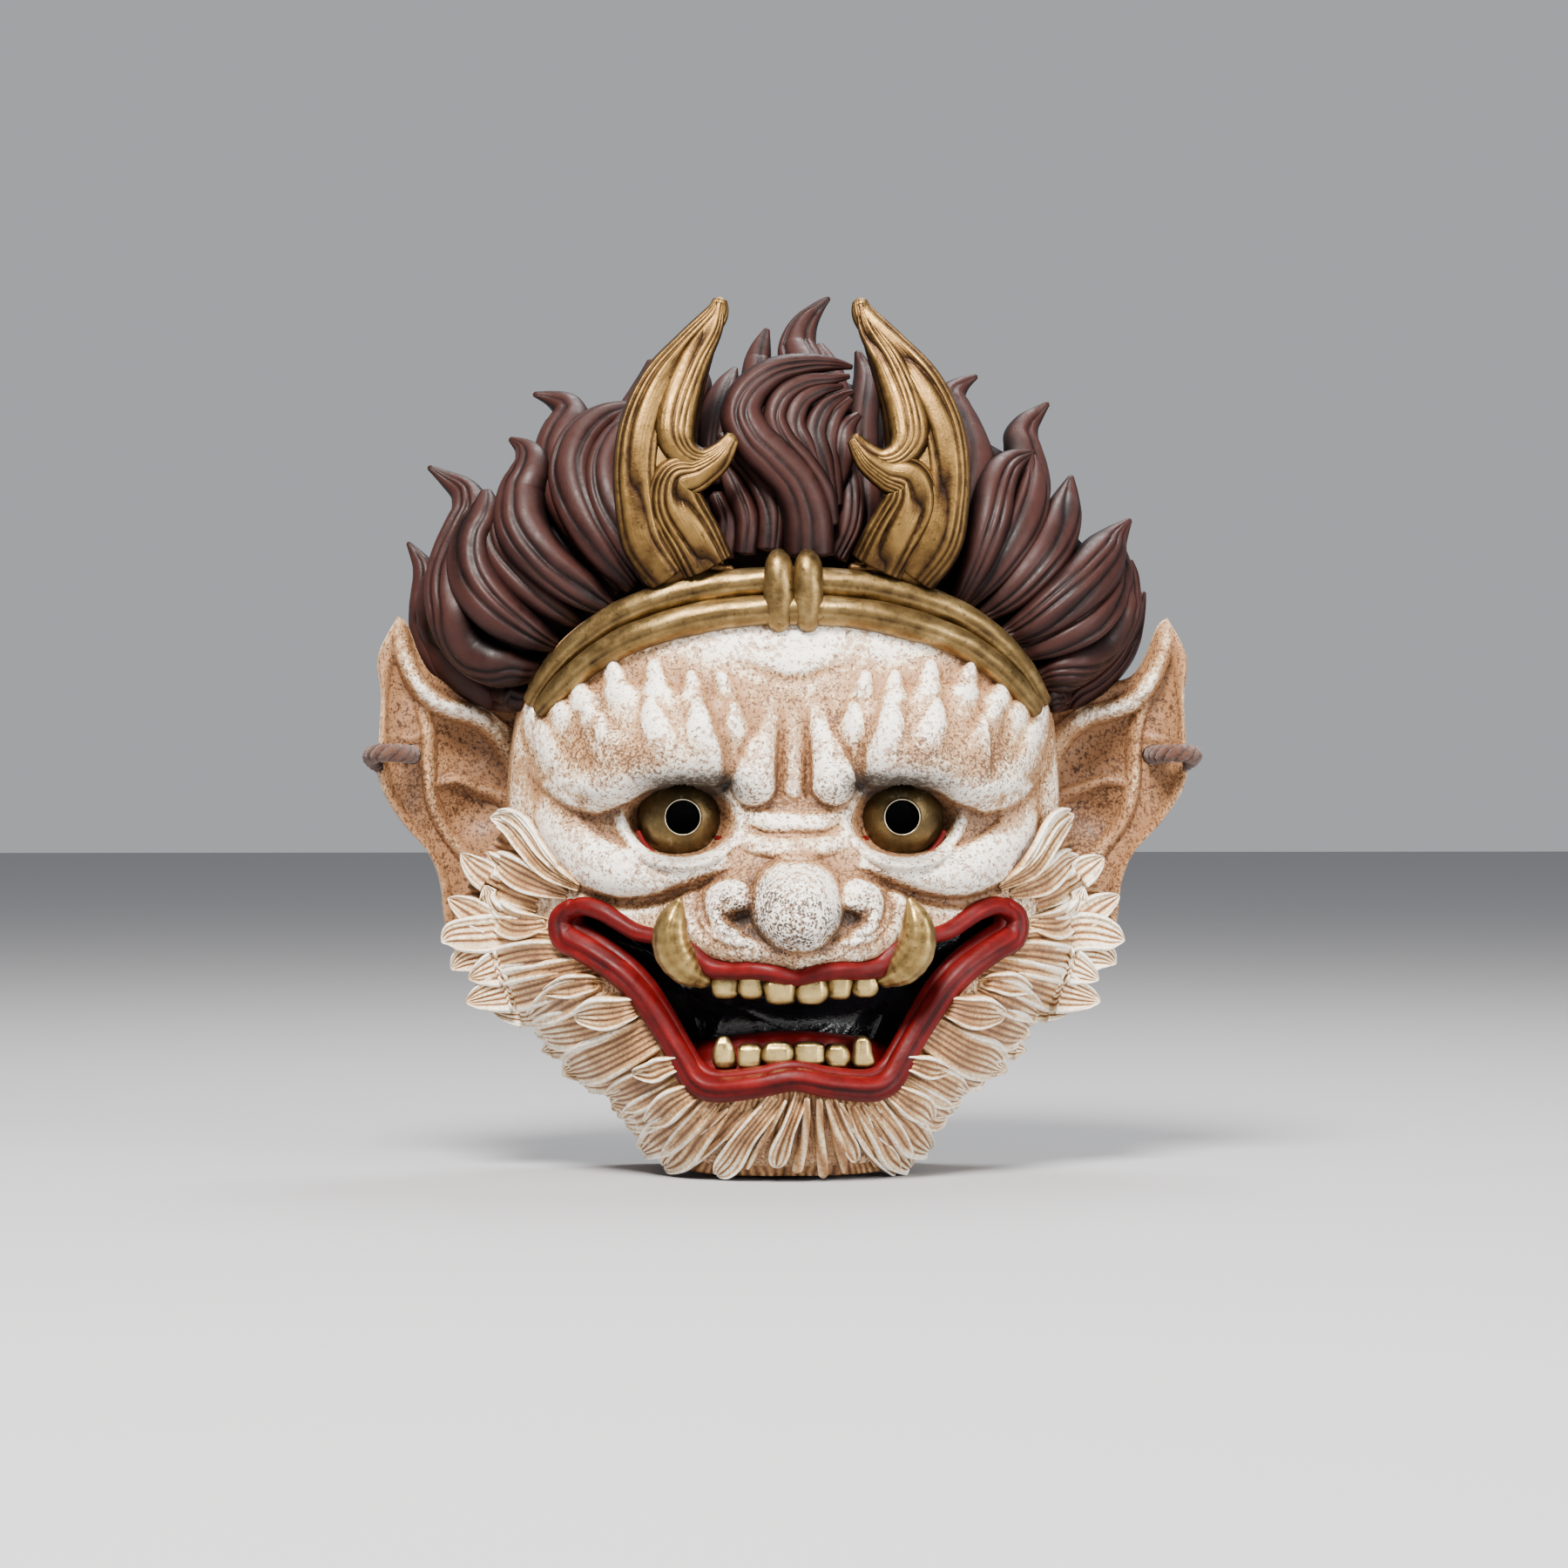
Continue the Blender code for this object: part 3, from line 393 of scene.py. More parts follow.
def surface_normal(surface, places, step, steepest):
    """Outward direction of a depth surface at (X, depth, Z) places; steeper slopes are eased to steepest."""
    x = places[:, 0]
    z = places[:, 2]
    slope_x = (surface(x + step, z) - surface(x - step, z)) / (2 * step)
    slope_z = (surface(x, z + step) - surface(x, z - step)) / (2 * step)
    steep = np.maximum(1.0, np.hypot(slope_x, slope_z) / steepest)
    return unit(np.column_stack([-slope_x / steep, np.ones_like(x), -slope_z / steep]))


def face_normal(places):
    return surface_normal(cad_face, places, 1.5, 1.6)


# ---------------------------------------------------------------- the carved face

BROW_EDGE = ((12, 13, 0), (19, 9.4, 5), (29, 8.6, 7.6), (41, 7.4, 8.4), (48.5, 3.4, 8.8), (56, 0.6, 8.8),
             (64, 2.6, 7.6), (71.5, 8, 5), (77, 15, 2), (81, 24, 0))
BROW_TUFTS = (
    ((18.4, 31, 4.4, 0.0), (19.8, 36, 3.4, 2.5), (20.6, 40.4, 1.7, 3.1)),
    ((27.2, 31, 4.6, 0.0), (28.8, 36.5, 3.5, 2.7), (29.2, 40.6, 1.7, 2.9)),
    ((37.4, 32, 4.8, 0.0), (39.2, 38.5, 3.8, 3.1), (39.8, 43.6, 1.8, 3.7)),
    ((47.8, 30, 5.2, 0.0), (50.4, 38, 4.1, 3.4), (51.8, 43.8, 1.8, 4.0)),
    ((57.6, 27, 5.2, 0.0), (61.4, 35.5, 4.0, 3.3), (63.4, 41.2, 1.8, 3.9)),
    ((63.4, 23, 5.2, 0.0), (67.8, 32, 4.0, 3.1), (70.0, 38.0, 1.8, 3.5)),
    ((69.0, 15, 5.2, 0.0), (73.2, 25, 4.1, 3.0), (75.2, 31.5, 1.9, 3.1)),
    ((15.2, 20, 5.2, 0.0), (16.6, 26, 4.0, 2.8), (17.2, 31.6, 1.9, 3.7)),
    ((24.8, 20, 5.6, 0.0), (27.0, 27, 4.3, 3.0), (28.0, 32.6, 1.8, 3.5)),
    ((37.2, 20, 5.6, 0.0), (39.9, 27, 4.3, 3.0), (41.0, 32.6, 1.8, 3.5)),
    ((52.8, 18, 5.6, 0.0), (57.2, 26.5, 4.4, 3.1), (59.6, 32.4, 1.9, 3.7)))


def pad(x, z, middle_x, middle_z, reach_x, reach_z, edge):
    """A flat-topped oval that falls off over the given share of its radius."""
    return ramp(1.0 - np.hypot((x - middle_x) / reach_x, (z - middle_z) / reach_z), 0.0, edge)


def ledge(x, z, line, rise, fade):
    """A roll with a steep foot on one side: it starts at the line, swells to the left of it and fades."""
    best = np.full(x.shape, 1e9)
    signed = np.zeros_like(x)
    high = np.zeros_like(x)
    for away, (height,), left in line_pieces(spline(line, 40, 2), x, z):
        closer = away < best
        best = np.where(closer, away, best)
        signed = np.where(closer, np.sign(left) * away, signed)
        high = np.where(closer, height, high)
    climb = np.sqrt(1 - (1 - np.clip(signed / rise, 0, 1)) ** 2)
    return high * climb * (1 - ramp(signed, rise, fade))


# strokes are (sign, power, rows of X, Z, half width and height): the knots between the brows and the crease
# that sets each off from its brow, then the creases beside the middle ridge and the forehead's crease
# and roll
BROW_STROKES = (
    (1, 0.6, ((6.4, 32, 2.4, 0.3), (7.2, 25, 3.4, 2.2), (9.8, 17, 5.2, 4.6), (11.4, 9.6, 6.6, 7.4))),
    (-1, 1.2, ((19.4, 24, 1.8, 0), (19.2, 16, 2.4, 2.6), (20.2, 9, 2.4, 2))))
MIDDLE_RIDGE = ((0, 31, 2.6, 0.2), (0, 20, 2.8, 1.6), (0, 8, 3.0, 2.4))
FOREHEAD_STROKES = (
    (-1, 1.2, ((3.6, 30, 1.2, 0.2), (4.2, 20, 1.4, 1.0), (4.2, 6, 1.4, 1.4))),
    (-1, 1.5, ((15.5, 43.4, 1.6, 0.1), (9, 41.6, 2.4, 0.6), (4.5, 39.8, 2.6, 0.9), (0, 39.2, 2.6, 0.9))),
    (1, 1.3, ((14.5, 46.4, 3.0, 0.1), (8, 44.8, 3.6, 0.5), (0, 43, 3.8, 0.6))))


def brow_relief(x, z, side):
    depth = 4.6 * bump(side, z, 42, 27, 31, 13)
    depth = depth + 2.6 * pad(side, z, 44, 21, 33, 19, 0.22)
    depth = depth + ledge(side, z, BROW_EDGE, 8.5, 30)
    tufts = np.zeros_like(depth)
    for line in BROW_TUFTS:
        tufts = np.maximum(tufts, stroke(side, z, line, 0.66))
    depth = stroked(depth + tufts, side, z, BROW_STROKES)
    depth = depth + stroke(side, z, MIDDLE_RIDGE, 0.9) * (side < 4)
    return stroked(depth, side, z, FOREHEAD_STROKES)


# the roll of the cheek, the lower lid and the crease under the cheek
EYE_STROKES = (
    (1, 0.68, ((67, 6, 6, 2), (66, -5, 7.5, 5), (56.5, -13.4, 8.2, 7.6), (43, -16.6, 7.0, 7.2),
               (31, -15.2, 5.2, 4.8), (22, -13.2, 4, 2.4))),
    (1, 0.8, ((51, 2.5, 2, 0.6), (46.8, -5.5, 2.4, 2.4), (40.5, -11.6, 2.4, 3.2), (32, -13.6, 2.2, 3.2),
              (24.4, -11.8, 2.2, 2.6), (18.4, -7.6, 2, 1.4))),
    (-1, 1.1, ((66, -18, 1.6, 0.4), (60, -20.6, 2.0, 1.6), (50, -24.6, 2.6, 2.6), (38, -22.8, 2.6, 2.8),
               (28, -18.8, 2.4, 2.4), (20.5, -16.4, 1.8, 0.8))))


def eye_relief(side, z):
    """The socket round each eye, the lids and the roll of the cheek with its crease."""
    return stroked(-8.2 * pad(side, z, 32.0, -1.0, 17.5, 12.5, 0.34), side, z, EYE_STROKES)


BRIDGE_STROKES = ((1, 0.8, ((0, -1.6, 3.6, 3.6), (7, -1.2, 3.4, 3.0), (12.5, 0.4, 2.4, 0.6))),
                  (1, 0.8, ((0, -8.4, 3.8, 3.2), (8, -8, 3.6, 2.6), (15, -6.6, 2.6, 0.6))))
NOSTRIL_CURL = ((11, -18.4, 2.6, 0.6), (17, -18.6, 3.4, 1.8), (23.4, -22, 3.6, 2.6), (24.6, -27.6, 3.4, 2.8),
                (21.4, -32.0, 3.2, 3.0), (16.4, -34.0, 2.6, 2.6), (11.6, -34.0, 2.2, 1.0))
NOSTRIL_BUMPS = ((8.6, 14.6, -28.8, 4.8, 2.7), (3.0, 10.6, -32.4, 3.4, 2.2))
MUZZLE_ROLL = ((29.8, -20, 2.6, 0.6), (29.6, -27, 3.8, 3.2), (27.6, -33, 4.6, 4.2), (20, -36.8, 5, 3.8),
               (10, -38.6, 4.6, 3.2), (0, -41.2, 4, 2.8))


def nose_relief(x, z, side):
    """The bridge's two rolls, the ball of the nose, its wings and nostrils, and the muzzle."""
    depth = stroked(10.5 * bump(x, z, 0, -22, 17, 14), side, z, BRIDGE_STROKES)
    round_off = 0.60 + 0.34 * ramp(z, -25, -13)
    ball = np.clip(1 - ((x - 0.4) / 13.9) ** 2 - ((z + 24.2) / 14.0) ** 2, 0, 1) ** round_off
    wing = np.clip(1 - ((side - 18.0) / 8.0) ** 2 - ((z + 25.4) / 8.2) ** 2, 0, 1) ** 0.62
    curl = stroke(side, z, NOSTRIL_CURL, 0.8)
    cave = raised(0.0, side, z, NOSTRIL_BUMPS)
    depth = depth + np.maximum(14.6 * ball, 7.4 * wing + curl - cave)
    depth = depth + 12.0 * bump(side, z, 0, -37, 28, 10.5)
    return stroked(depth, side, z, ((1, 0.85, MUZZLE_ROLL),))


def face_relief(x, z):
    """The fine front of the face: brows, knobs, lids, cheeks, nose, muzzle and creases."""
    side = np.abs(x)
    depth = dome(x, z) + brow_relief(x, z, side) + eye_relief(side, z) + nose_relief(x, z, side)
    return depth + 8.0 * bump(x, z, 0, -78, 34, 17)


class Relief:
    """The face relief on a fine raster, with how hollow each place is and the thinnest depth nearby."""

    def __init__(self, step=0.6):
        self.step = step
        self.low = np.array([-100.0, -116.0])
        x = np.arange(-100.0, 100.0 + step, step)
        z = np.arange(-116.0, 84.0 + step, step)
        gx, gz = np.meshgrid(x, z, indexing="ij")
        depth = face_relief(gx, gz)
        self.hollow = self.blur(depth, 2.2) - depth
        self.broad = self.blur(depth, 7.0) - depth
        thin = np.minimum(depth, cad_face(gx, gz))
        reach = int(5.0 / step)
        for axis in (0, 1):
            stack = [np.roll(thin, k, axis=axis) for k in range(-reach, reach + 1, 2)]
            thin = np.minimum.reduce(stack)
        self.thin = self.blur(thin, 3.0)

    def blur(self, field, reach):
        size = max(1, int(round(reach / self.step)))
        offsets = np.arange(-2 * size, 2 * size + 1)
        weight = np.exp(-(offsets / size) ** 2)
        weight /= weight.sum()
        for axis in (0, 1):
            wide = [(0, 0), (0, 0)]
            wide[axis] = (2 * size, 2 * size)
            padded = np.pad(field, wide, mode="edge")
            field = np.apply_along_axis(lambda v: np.convolve(v, weight, "valid"), axis, padded)
        return field

    def read(self, field, x, z):
        i = np.clip((x - self.low[0]) / self.step, 0, field.shape[0] - 1.001)
        j = np.clip((z - self.low[1]) / self.step, 0, field.shape[1] - 1.001)
        a = i.astype(int)
        b = j.astype(int)
        s = i - a
        t = j - b
        return (field[a, b] * (1 - s) * (1 - t) + field[a + 1, b] * s * (1 - t)
                + field[a, b + 1] * (1 - s) * t + field[a + 1, b + 1] * s * t)


def outline_ring(count):
    right = np.array(SHELL_OUTLINE, float)
    left = right[-2:0:-1] * np.array([-1.0, 1.0])
    return spline(np.vstack([right, left, right[:1]]), count + 1, 2)[:-1]


def inside(x, z, polygon):
    """Which places lie inside a closed outline."""
    hits = np.zeros(x.shape, bool)
    for (ax, az), (bx, bz) in zip(polygon, np.roll(polygon, -1, axis=0)):
        crosses = (az > z) != (bz > z)
        hits ^= crosses & (x < (bx - ax) * (z - az) / ((bz - az) or 1e-9) + ax)
    return hits


UPPER_LIP = ((-61, -27), (-56, -28), (-50, -31), (-44, -33.3), (-38, -32), (-31.5, -35), (-27, -40.5),
             (-20, -42.2), (-10, -42), (0, -43.6))
LOWER_LIP = ((-63.4, -26.4, 2.9), (-66, -29.6, 3.8), (-65, -35, 4.3), (-58.5, -38.8, 4.0), (-50, -44.6, 3.9),
             (-43.5, -51.2, 3.8), (-38.8, -58, 3.7), (-35.2, -63.8, 3.6), (-31.8, -69.6, 3.7),
             (-28.2, -75.4, 3.8), (-22.5, -77.8, 3.7), (-11, -76.6, 3.5), (0, -74.6, 3.4))


def rim_depth(x, z):
    return np.where(np.abs(x) < 60, 0.0, 15.0 * ramp(16.0 - np.abs(z - 5.0), 0, 9))


RELIEF = Relief()

# bumps are (height, middle X, middle Z, reach X, reach Z). The wash is paler on the forehead, the nose,
# the cheeks and the brows' knots, partly the paint's own cream and partly a painted highlight where the light
# falls from above, and darker under the nose and under the brows, which is painted shade, and at the temples
PALE_PAINT_AND_HIGHLIGHT_BUMPS = ((0.20, 2, 51, 40, 8), (0.14, 0, -22, 14, 12))
WASH_HIGHLIGHT_AND_SHADE_PAIRS = ((0.14, 52, -12, 22, 7), (0.12, 11.5, 8, 7, 8), (-0.16, 14, -38, 22, 7), (-0.13, 50, 16, 26, 8))
# specks on the nose and its left side, then in pairs on its wings, between the brows and on the cheeks
SPECK_BUMPS = ((1.35, -1, -30, 17, 12), (0.5, -11, -20, 5, 9))
SPECK_PAIRS = ((0.6, 20, -26, 8, 8), (0.6, 12, 6, 9, 9), (0.55, 48, 15, 26, 9), (0.4, 50, -14, 20, 7))
# painted shade round the eyes, darkest under the brows' overhang, then in the nostrils and the groove below
# them
PAINTED_SHADE_PAIRS = ((1.1, 31, 9.0, 16.5, 4.8), (0.45, 21, 9, 6, 5), (0.5, 49, 0, 9, 4), (0.5, 33, -12.5, 13, 2.6),
              (0.85, 14.6, -28.6, 4.4, 3.0), (0.55, 10.6, -33.4, 2.8, 2.2), (0.45, 6, -37, 3.2, 1.6))
EYE_X = 31.5
HOLES_BEFORE = 30.0                   # the mouth and the eyes are opened only in front of this depth
RIM_INSET = 0.994                     # the shell's outer edge at the rim, as a share of its outline
RIM_ROUND = 1.2                       # depth of the rounding at the rim's inner edge


def opened(points, quads, mouth, eye_reach):
    """The quads that are left when the mouth and the eyes are opened."""
    x, depth, z = points.T
    gone = inside(x, z, mouth) | (np.hypot(np.abs(x) - EYE_X, z) < eye_reach)
    return quads[~(gone & (depth > HOLES_BEFORE))[quads].any(axis=1)]


def face_front(outline):
    """The front's rings of places round the hub, with their ridge, painted shade and speck values."""
    ring_count = 205
    shares = np.linspace(0.0, 1.0, ring_count + 1)[1:] ** 0.94 * 0.985
    x, z = np.moveaxis(HUB + (outline - HUB)[None, :, :] * shares[:, None, None], -1, 0)
    side = np.abs(x)
    depth = face_relief(x, z) + 0.12 * smooth_noise(x, z, 0, 4, 5.0)
    ridge = 0.60 - 0.25 * RELIEF.read(RELIEF.hollow, x, z) - 0.07 * RELIEF.read(RELIEF.broad, x, z)
    # pale paint with painted highlights, and painted shade under the nose and the brows
    ridge = raised(raised(ridge, x, z, PALE_PAINT_AND_HIGHLIGHT_BUMPS), side, z, WASH_HIGHLIGHT_AND_SHADE_PAIRS)
    ridge = np.clip(ridge - 0.10 * ramp(-z, 26, 60) - 0.08 * bump(side, z, 66, 28, 14, 14), 0, 1)
    speck = np.clip(raised(raised(0.0, x, z, SPECK_BUMPS), side, z, SPECK_PAIRS), 0, 1)
    # painted shade round the eyes and in the nostrils
    painted_shade = np.clip(raised(0.0, side, z, PAINTED_SHADE_PAIRS), 0, 1)
    return place_rows(x, depth, z), ridge.ravel(), painted_shade.ravel(), speck.ravel()


def face_wall(outline):
    """The shell's side, from the edge of the front down to the rim."""
    edge = face_relief(*outline.T) - 2.5
    rim = rim_depth(*outline.T)
    walls = []
    for share in (0.0, 0.08, 0.3, 0.55, 0.8, 0.96, 1.0):
        grow = 1.0 + 0.004 * math.sin(math.pi * share) if share < 1.0 else RIM_INSET
        p = HUB + (outline - HUB) * grow
        walls.append(place_rows(p[:, 0], edge + (rim - edge) * share, p[:, 1]))
    return np.vstack(walls)


def face_hollow(ring):
    """The hollow back: over the rim, up inside the wall and in to the hub."""
    length = np.linalg.norm(ring - HUB, axis=1)[:, None]
    rim = rim_depth(*ring.T)
    rings = []
    for share, lift in ((RIM_INSET, 0.0), (1 - (WALL - 0.8) / length, 0.1), (1 - WALL / length, RIM_ROUND)):
        lip = HUB + (ring - HUB) * share
        rings.append(place_rows(lip[:, 0], rim + lift, lip[:, 1]))
    wall_top = RELIEF.read(RELIEF.thin, *(HUB + (ring - HUB) * 0.93).T) - WALL - 4
    for share in (0.25, 0.5, 0.75, 1.0):
        rings.append(place_rows(lip[:, 0], rim + RIM_ROUND + (wall_top - rim - RIM_ROUND) * share, lip[:, 1]))
    for share in np.linspace(0.9, 0.02, 44):
        x, z = (HUB + (ring - HUB) * share).T
        rough = 0.35 * smooth_noise(x, z, 0, 9, 9.0) + 0.18 * smooth_noise(x, z, 3, 12, 3.5)
        rings.append(place_rows(x, RELIEF.read(RELIEF.thin, x, z) - WALL + rough - 0.5, z))
    return np.vstack(rings)


def build_face(material, inner_material):
    spokes = 460
    outline = outline_ring(spokes)
    mouth = np.vstack([spline(whole_line(UPPER_LIP), 60, 2), spline(whole_line(LOWER_LIP), 90, 2)[::-1, :2]])
    front, ridge, painted_shade, speck = face_front(outline)
    wall = face_wall(outline)
    none = np.zeros(len(wall))
    hub_depth = float(face_relief(HUB[:1], HUB[1:])[0])
    points = np.vstack([[[HUB[0], hub_depth, HUB[1]]], front, wall])
    quads = opened(points, grid_faces(len(points) // spokes, spokes, True) + 1, mouth, 9.0)
    bag = Bag()
    bag.add(points, [quads[:, ::-1], fan(0, np.arange(1, spokes + 1))],
            np.concatenate([[0.6], ridge, np.full(len(wall), 0.42)]), np.concatenate([[0.0], painted_shade, none]))
    face = bag.build("carved_face", material, ["face_shell"])
    layer = face.data.attributes.new("speck", "FLOAT", "POINT")
    layer.data.foreach_set("value", np.concatenate([[0.5], speck, none]).astype(np.float32))
    spokes = 180
    points = face_hollow(outline_ring(spokes))
    total = len(points)
    quads = opened(points, grid_faces(total // spokes, spokes, True), mouth, 10.5)
    points = np.vstack([points, [[HUB[0], points[-spokes:, 1].mean(), HUB[1]]]])
    bag = Bag()
    bag.add(points, [quads[:, ::-1], fan(total, np.arange(total - spokes, total))], np.full(total + 1, 0.5))
    bag.build("face_inside", inner_material, [])


# ---------------------------------------------------------------- materials

class Paint:
    """A node material with a Principled shader and short ways to add nodes."""

    def __init__(self, name, roughness, metallic=0.0, specular=0.5):
        self.material = bpy.data.materials.new(name)
        self.material.use_nodes = True
        self.tree = self.material.node_tree
        self.shader = self.tree.nodes["Principled BSDF"]
        self.shader.inputs["Roughness"].default_value = roughness
        self.shader.inputs["Metallic"].default_value = metallic
        self.shader.inputs["Specular IOR Level"].default_value = specular
        self.place = self.tree.nodes.new("ShaderNodeTexCoord").outputs["Object"]

    def link(self, source, node, socket):
        self.tree.links.new(source, node.inputs[socket])

    def node(self, kind, values):
        node = self.tree.nodes.new("ShaderNode" + kind)
        for socket, value in values.items():
            node.inputs[socket].default_value = value
        return node

    def attribute(self, name):
        node = self.tree.nodes.new("ShaderNodeAttribute")
        node.attribute_name = name
        return node.outputs["Fac"]

    def noise(self, scale, detail=3.0, rough=0.6):
        node = self.node("TexNoise", {"Scale": scale, "Detail": detail, "Roughness": rough})
        self.link(self.place, node, "Vector")
        return node.outputs["Fac"]

    def cells(self, scale):
        """Distance from the nearest of many scattered points, in steps of 1 / scale."""
        node = self.node("TexVoronoi", {"Scale": scale})
        self.link(self.place, node, "Vector")
        return node.outputs["Distance"]

    def span(self, value, low, high, to_low=0.0, to_high=1.0):
        node = self.node("MapRange", {"From Min": low, "From Max": high, "To Min": to_low, "To Max": to_high})
        self.link(value, node, "Value")
        return node.outputs["Result"]

    def worn(self, scale, rough, low, high):
        """The ridge value, raised and lowered in patches."""
        return self.maths("ADD", self.attribute("ridge"),
                          self.span(self.noise(scale, 4.0, rough), 0.3, 0.7, low, high))

    def maths(self, operation, a, b):
        node = self.tree.nodes.new("ShaderNodeMath")
        node.operation = operation
        for k, value in enumerate((a, b)):
            if isinstance(value, (int, float)):
                node.inputs[k].default_value = value
            else:
                self.tree.links.new(value, node.inputs[k])
        return node.outputs[0]

    def colours(self, value, stops):
        node = self.tree.nodes.new("ShaderNodeValToRGB")
        band = node.color_ramp
        while len(band.elements) < len(stops):
            band.elements.new(0.5)
        for element, (place, colour) in zip(band.elements, stops):
            element.position = place
            element.color = (*colour, 1.0)
        self.link(value, node, "Fac")
        return node.outputs["Color"]

    def mix(self, share, a, b):
        node = self.tree.nodes.new("ShaderNodeMix")
        node.data_type = "RGBA"
        self.tree.links.new(share, node.inputs[0])
        for k, value in ((6, a), (7, b)):
            if isinstance(value, tuple):
                node.inputs[k].default_value = (*value, 1.0)
            else:
                self.tree.links.new(value, node.inputs[k])
        return node.outputs[2]

    def finish(self, colour, height, strength, distance, roughness=None):
        self.link(colour, self.shader, "Base Color")
        if roughness is not None:
            self.link(roughness, self.shader, "Roughness")
        node = self.node("Bump", {"Strength": strength, "Distance": distance})
        self.link(height, node, "Height")
        self.link(node.outputs["Normal"], self.shader, "Normal")
        return self.material


IVORY_STOPS = ((0.0, (0.020, 0.008, 0.004)), (0.18, (0.100, 0.044, 0.018)), (0.36, (0.36, 0.205, 0.098)),
               (0.52, (0.63, 0.430, 0.235)), (0.66, (0.82, 0.67, 0.47)), (0.82, (0.93, 0.865, 0.760)))
BEARD_STOPS = ((0.0, (0.018, 0.006, 0.002)), (0.22, (0.095, 0.036, 0.012)), (0.42, (0.30, 0.140, 0.052)),
               (0.60, (0.61, 0.375, 0.165)), (0.76, (0.83, 0.68, 0.45)), (0.94, (0.93, 0.87, 0.76)))
SPECK_BROWN = (0.085, 0.035, 0.015)
SPOT_BROWN = (0.030, 0.012, 0.006)
SPONGE_TAN = (0.33, 0.165, 0.075)
PAINTED_SHADE_BLACK = (0.022, 0.017, 0.014)
# the hair's brown, from near black to a lighter brown: painted shade in the grooves and between the locks,
# and a painted highlight on the ridges
HAIR_SHADED_STOPS = ((0.05, (0.0017, 0.0005, 0.0004)), (0.45, (0.0098, 0.0030, 0.0024)),
              (0.95, (0.031, 0.0107, 0.0086)))
LIP_STOPS = ((0.05, (0.020, 0.0006, 0.0006)), (0.5, (0.080, 0.0016, 0.0019)), (0.95, (0.175, 0.0045, 0.0050)))
WOOL_STOPS = ((0.1, (0.012, 0.0042, 0.0025)), (0.5, (0.040, 0.0155, 0.0095)), (0.9, (0.090, 0.040, 0.025)))


def ivory_paint(name, stops, speckle, sponge):
    """Ivory with a brown wash in the hollows, sponged tan, dark speckle and soft painted shade from its
    painted shade amount.
    """
    p = Paint(name, 0.46, 0.0, 0.35)
    ridge = p.attribute("ridge")
    patches = p.noise(70, 4.0, 0.6)
    fine = p.noise(1300, 3.0, 0.7)
    value = p.maths("ADD", ridge, p.span(patches, 0.3, 0.7, -0.12, 0.12))
    value = p.maths("ADD", value, p.span(fine, 0.3, 0.7, -0.07, 0.06))
    colour = p.colours(value, stops)
    # worn sponge marks, about a millimetre across, where the paint isn't raised
    marks = p.noise(620, 3.0, 0.65)
    cover = p.maths("ADD", p.span(value, 0.85, 0.40, 0.0, 0.16), p.span(patches, 0.62, 0.38, -0.04, 0.06))
    marks = p.span(p.maths("ADD", marks, cover), 0.53, 0.61)
    colour = p.mix(p.maths("MULTIPLY", marks, sponge), colour, SPONGE_TAN)
    # dark specks, dense where the face's "speck" value is high
    grain = p.maths("ADD", p.maths("MULTIPLY", p.noise(1450, 2.0, 0.6), 0.66),
                    p.maths("MULTIPLY", p.noise(820, 1.0, 0.5), 0.34))
    density = p.maths("ADD", p.attribute("speck"), p.span(value, 0.84, 0.46, 0.0, 0.75))
    spread = p.span(p.noise(45, 2.0, 0.5), 0.36, 0.64, 0.35, 1.0)
    level = p.maths("SUBTRACT", 0.592, p.maths("MULTIPLY", p.maths("MULTIPLY", density, spread), 0.12))
    dots = p.span(p.maths("SUBTRACT", grain, level), 0.0, 0.014)
    colour = p.mix(p.maths("MULTIPLY", dots, speckle), colour, SPECK_BROWN)
    # round spots about half a millimetre across, on the nose and between the eyes
    size = p.maths("MULTIPLY", p.span(p.attribute("speck"), 0.25, 1.0, 0.0, 0.56),
                   p.span(p.noise(300, 2.0, 0.5), 0.36, 0.64, 0.62, 1.0))
    spots = p.span(p.maths("SUBTRACT", size, p.cells(1000)), 0.0, 0.08)
    colour = p.mix(p.maths("MULTIPLY", spots, 0.92), colour, SPOT_BROWN)
    # painted shade round the eyes and in the nostrils, mixed towards near black
    painted_shade = p.maths("MULTIPLY", p.attribute("painted_shade_amount"), p.span(p.noise(800, 3.0, 0.7), 0.3, 0.6, 0.7, 1.15))
    colour = p.mix(p.maths("MINIMUM", painted_shade, 0.97), colour, PAINTED_SHADE_BLACK)
    pits = p.maths("ADD", p.maths("ADD", dots, marks), p.maths("MULTIPLY", spots, 1.5))
    height = p.maths("SUBTRACT", p.maths("MULTIPLY", fine, 0.5), pits)
    return p.finish(colour, height, 0.35, 0.0003)


def metal_paint(name, dark, middle, bright, roughness):
    """Metallic paint, brown in the grooves and worn bright on the ridges."""
    p = Paint(name, roughness, 0.88)
    colour = p.colours(p.worn(150, 0.65, -0.20, 0.18), ((0.08, dark), (0.50, middle), (0.98, bright)))
    pits = p.span(p.noise(520, 2.0, 0.6), 0.63, 0.70)
    colour = p.mix(p.maths("MULTIPLY", pits, 0.5), colour, dark)
    rough = p.span(p.noise(430, 3.0, 0.7), 0.3, 0.7, roughness - 0.08, roughness + 0.14)
    return p.finish(colour, p.noise(1300, 3.0, 0.7), 0.3, 0.0003, rough)


def lacquer_paint(name, roughness, specular, wear, stops, gloss_scale, grain_scale, grain):
    """Dull lacquer, dark in the grooves; wear is the scale, roughness and range of its worn patches."""
    p = Paint(name, roughness, 0.0, specular)
    colour = p.colours(p.worn(*wear), stops)
    rough = p.span(p.noise(gloss_scale, 3.0, 0.6), 0.3, 0.7, 0.38, 0.56)
    return p.finish(colour, p.noise(grain_scale, 3.0, 0.7), grain, 0.0003, rough)


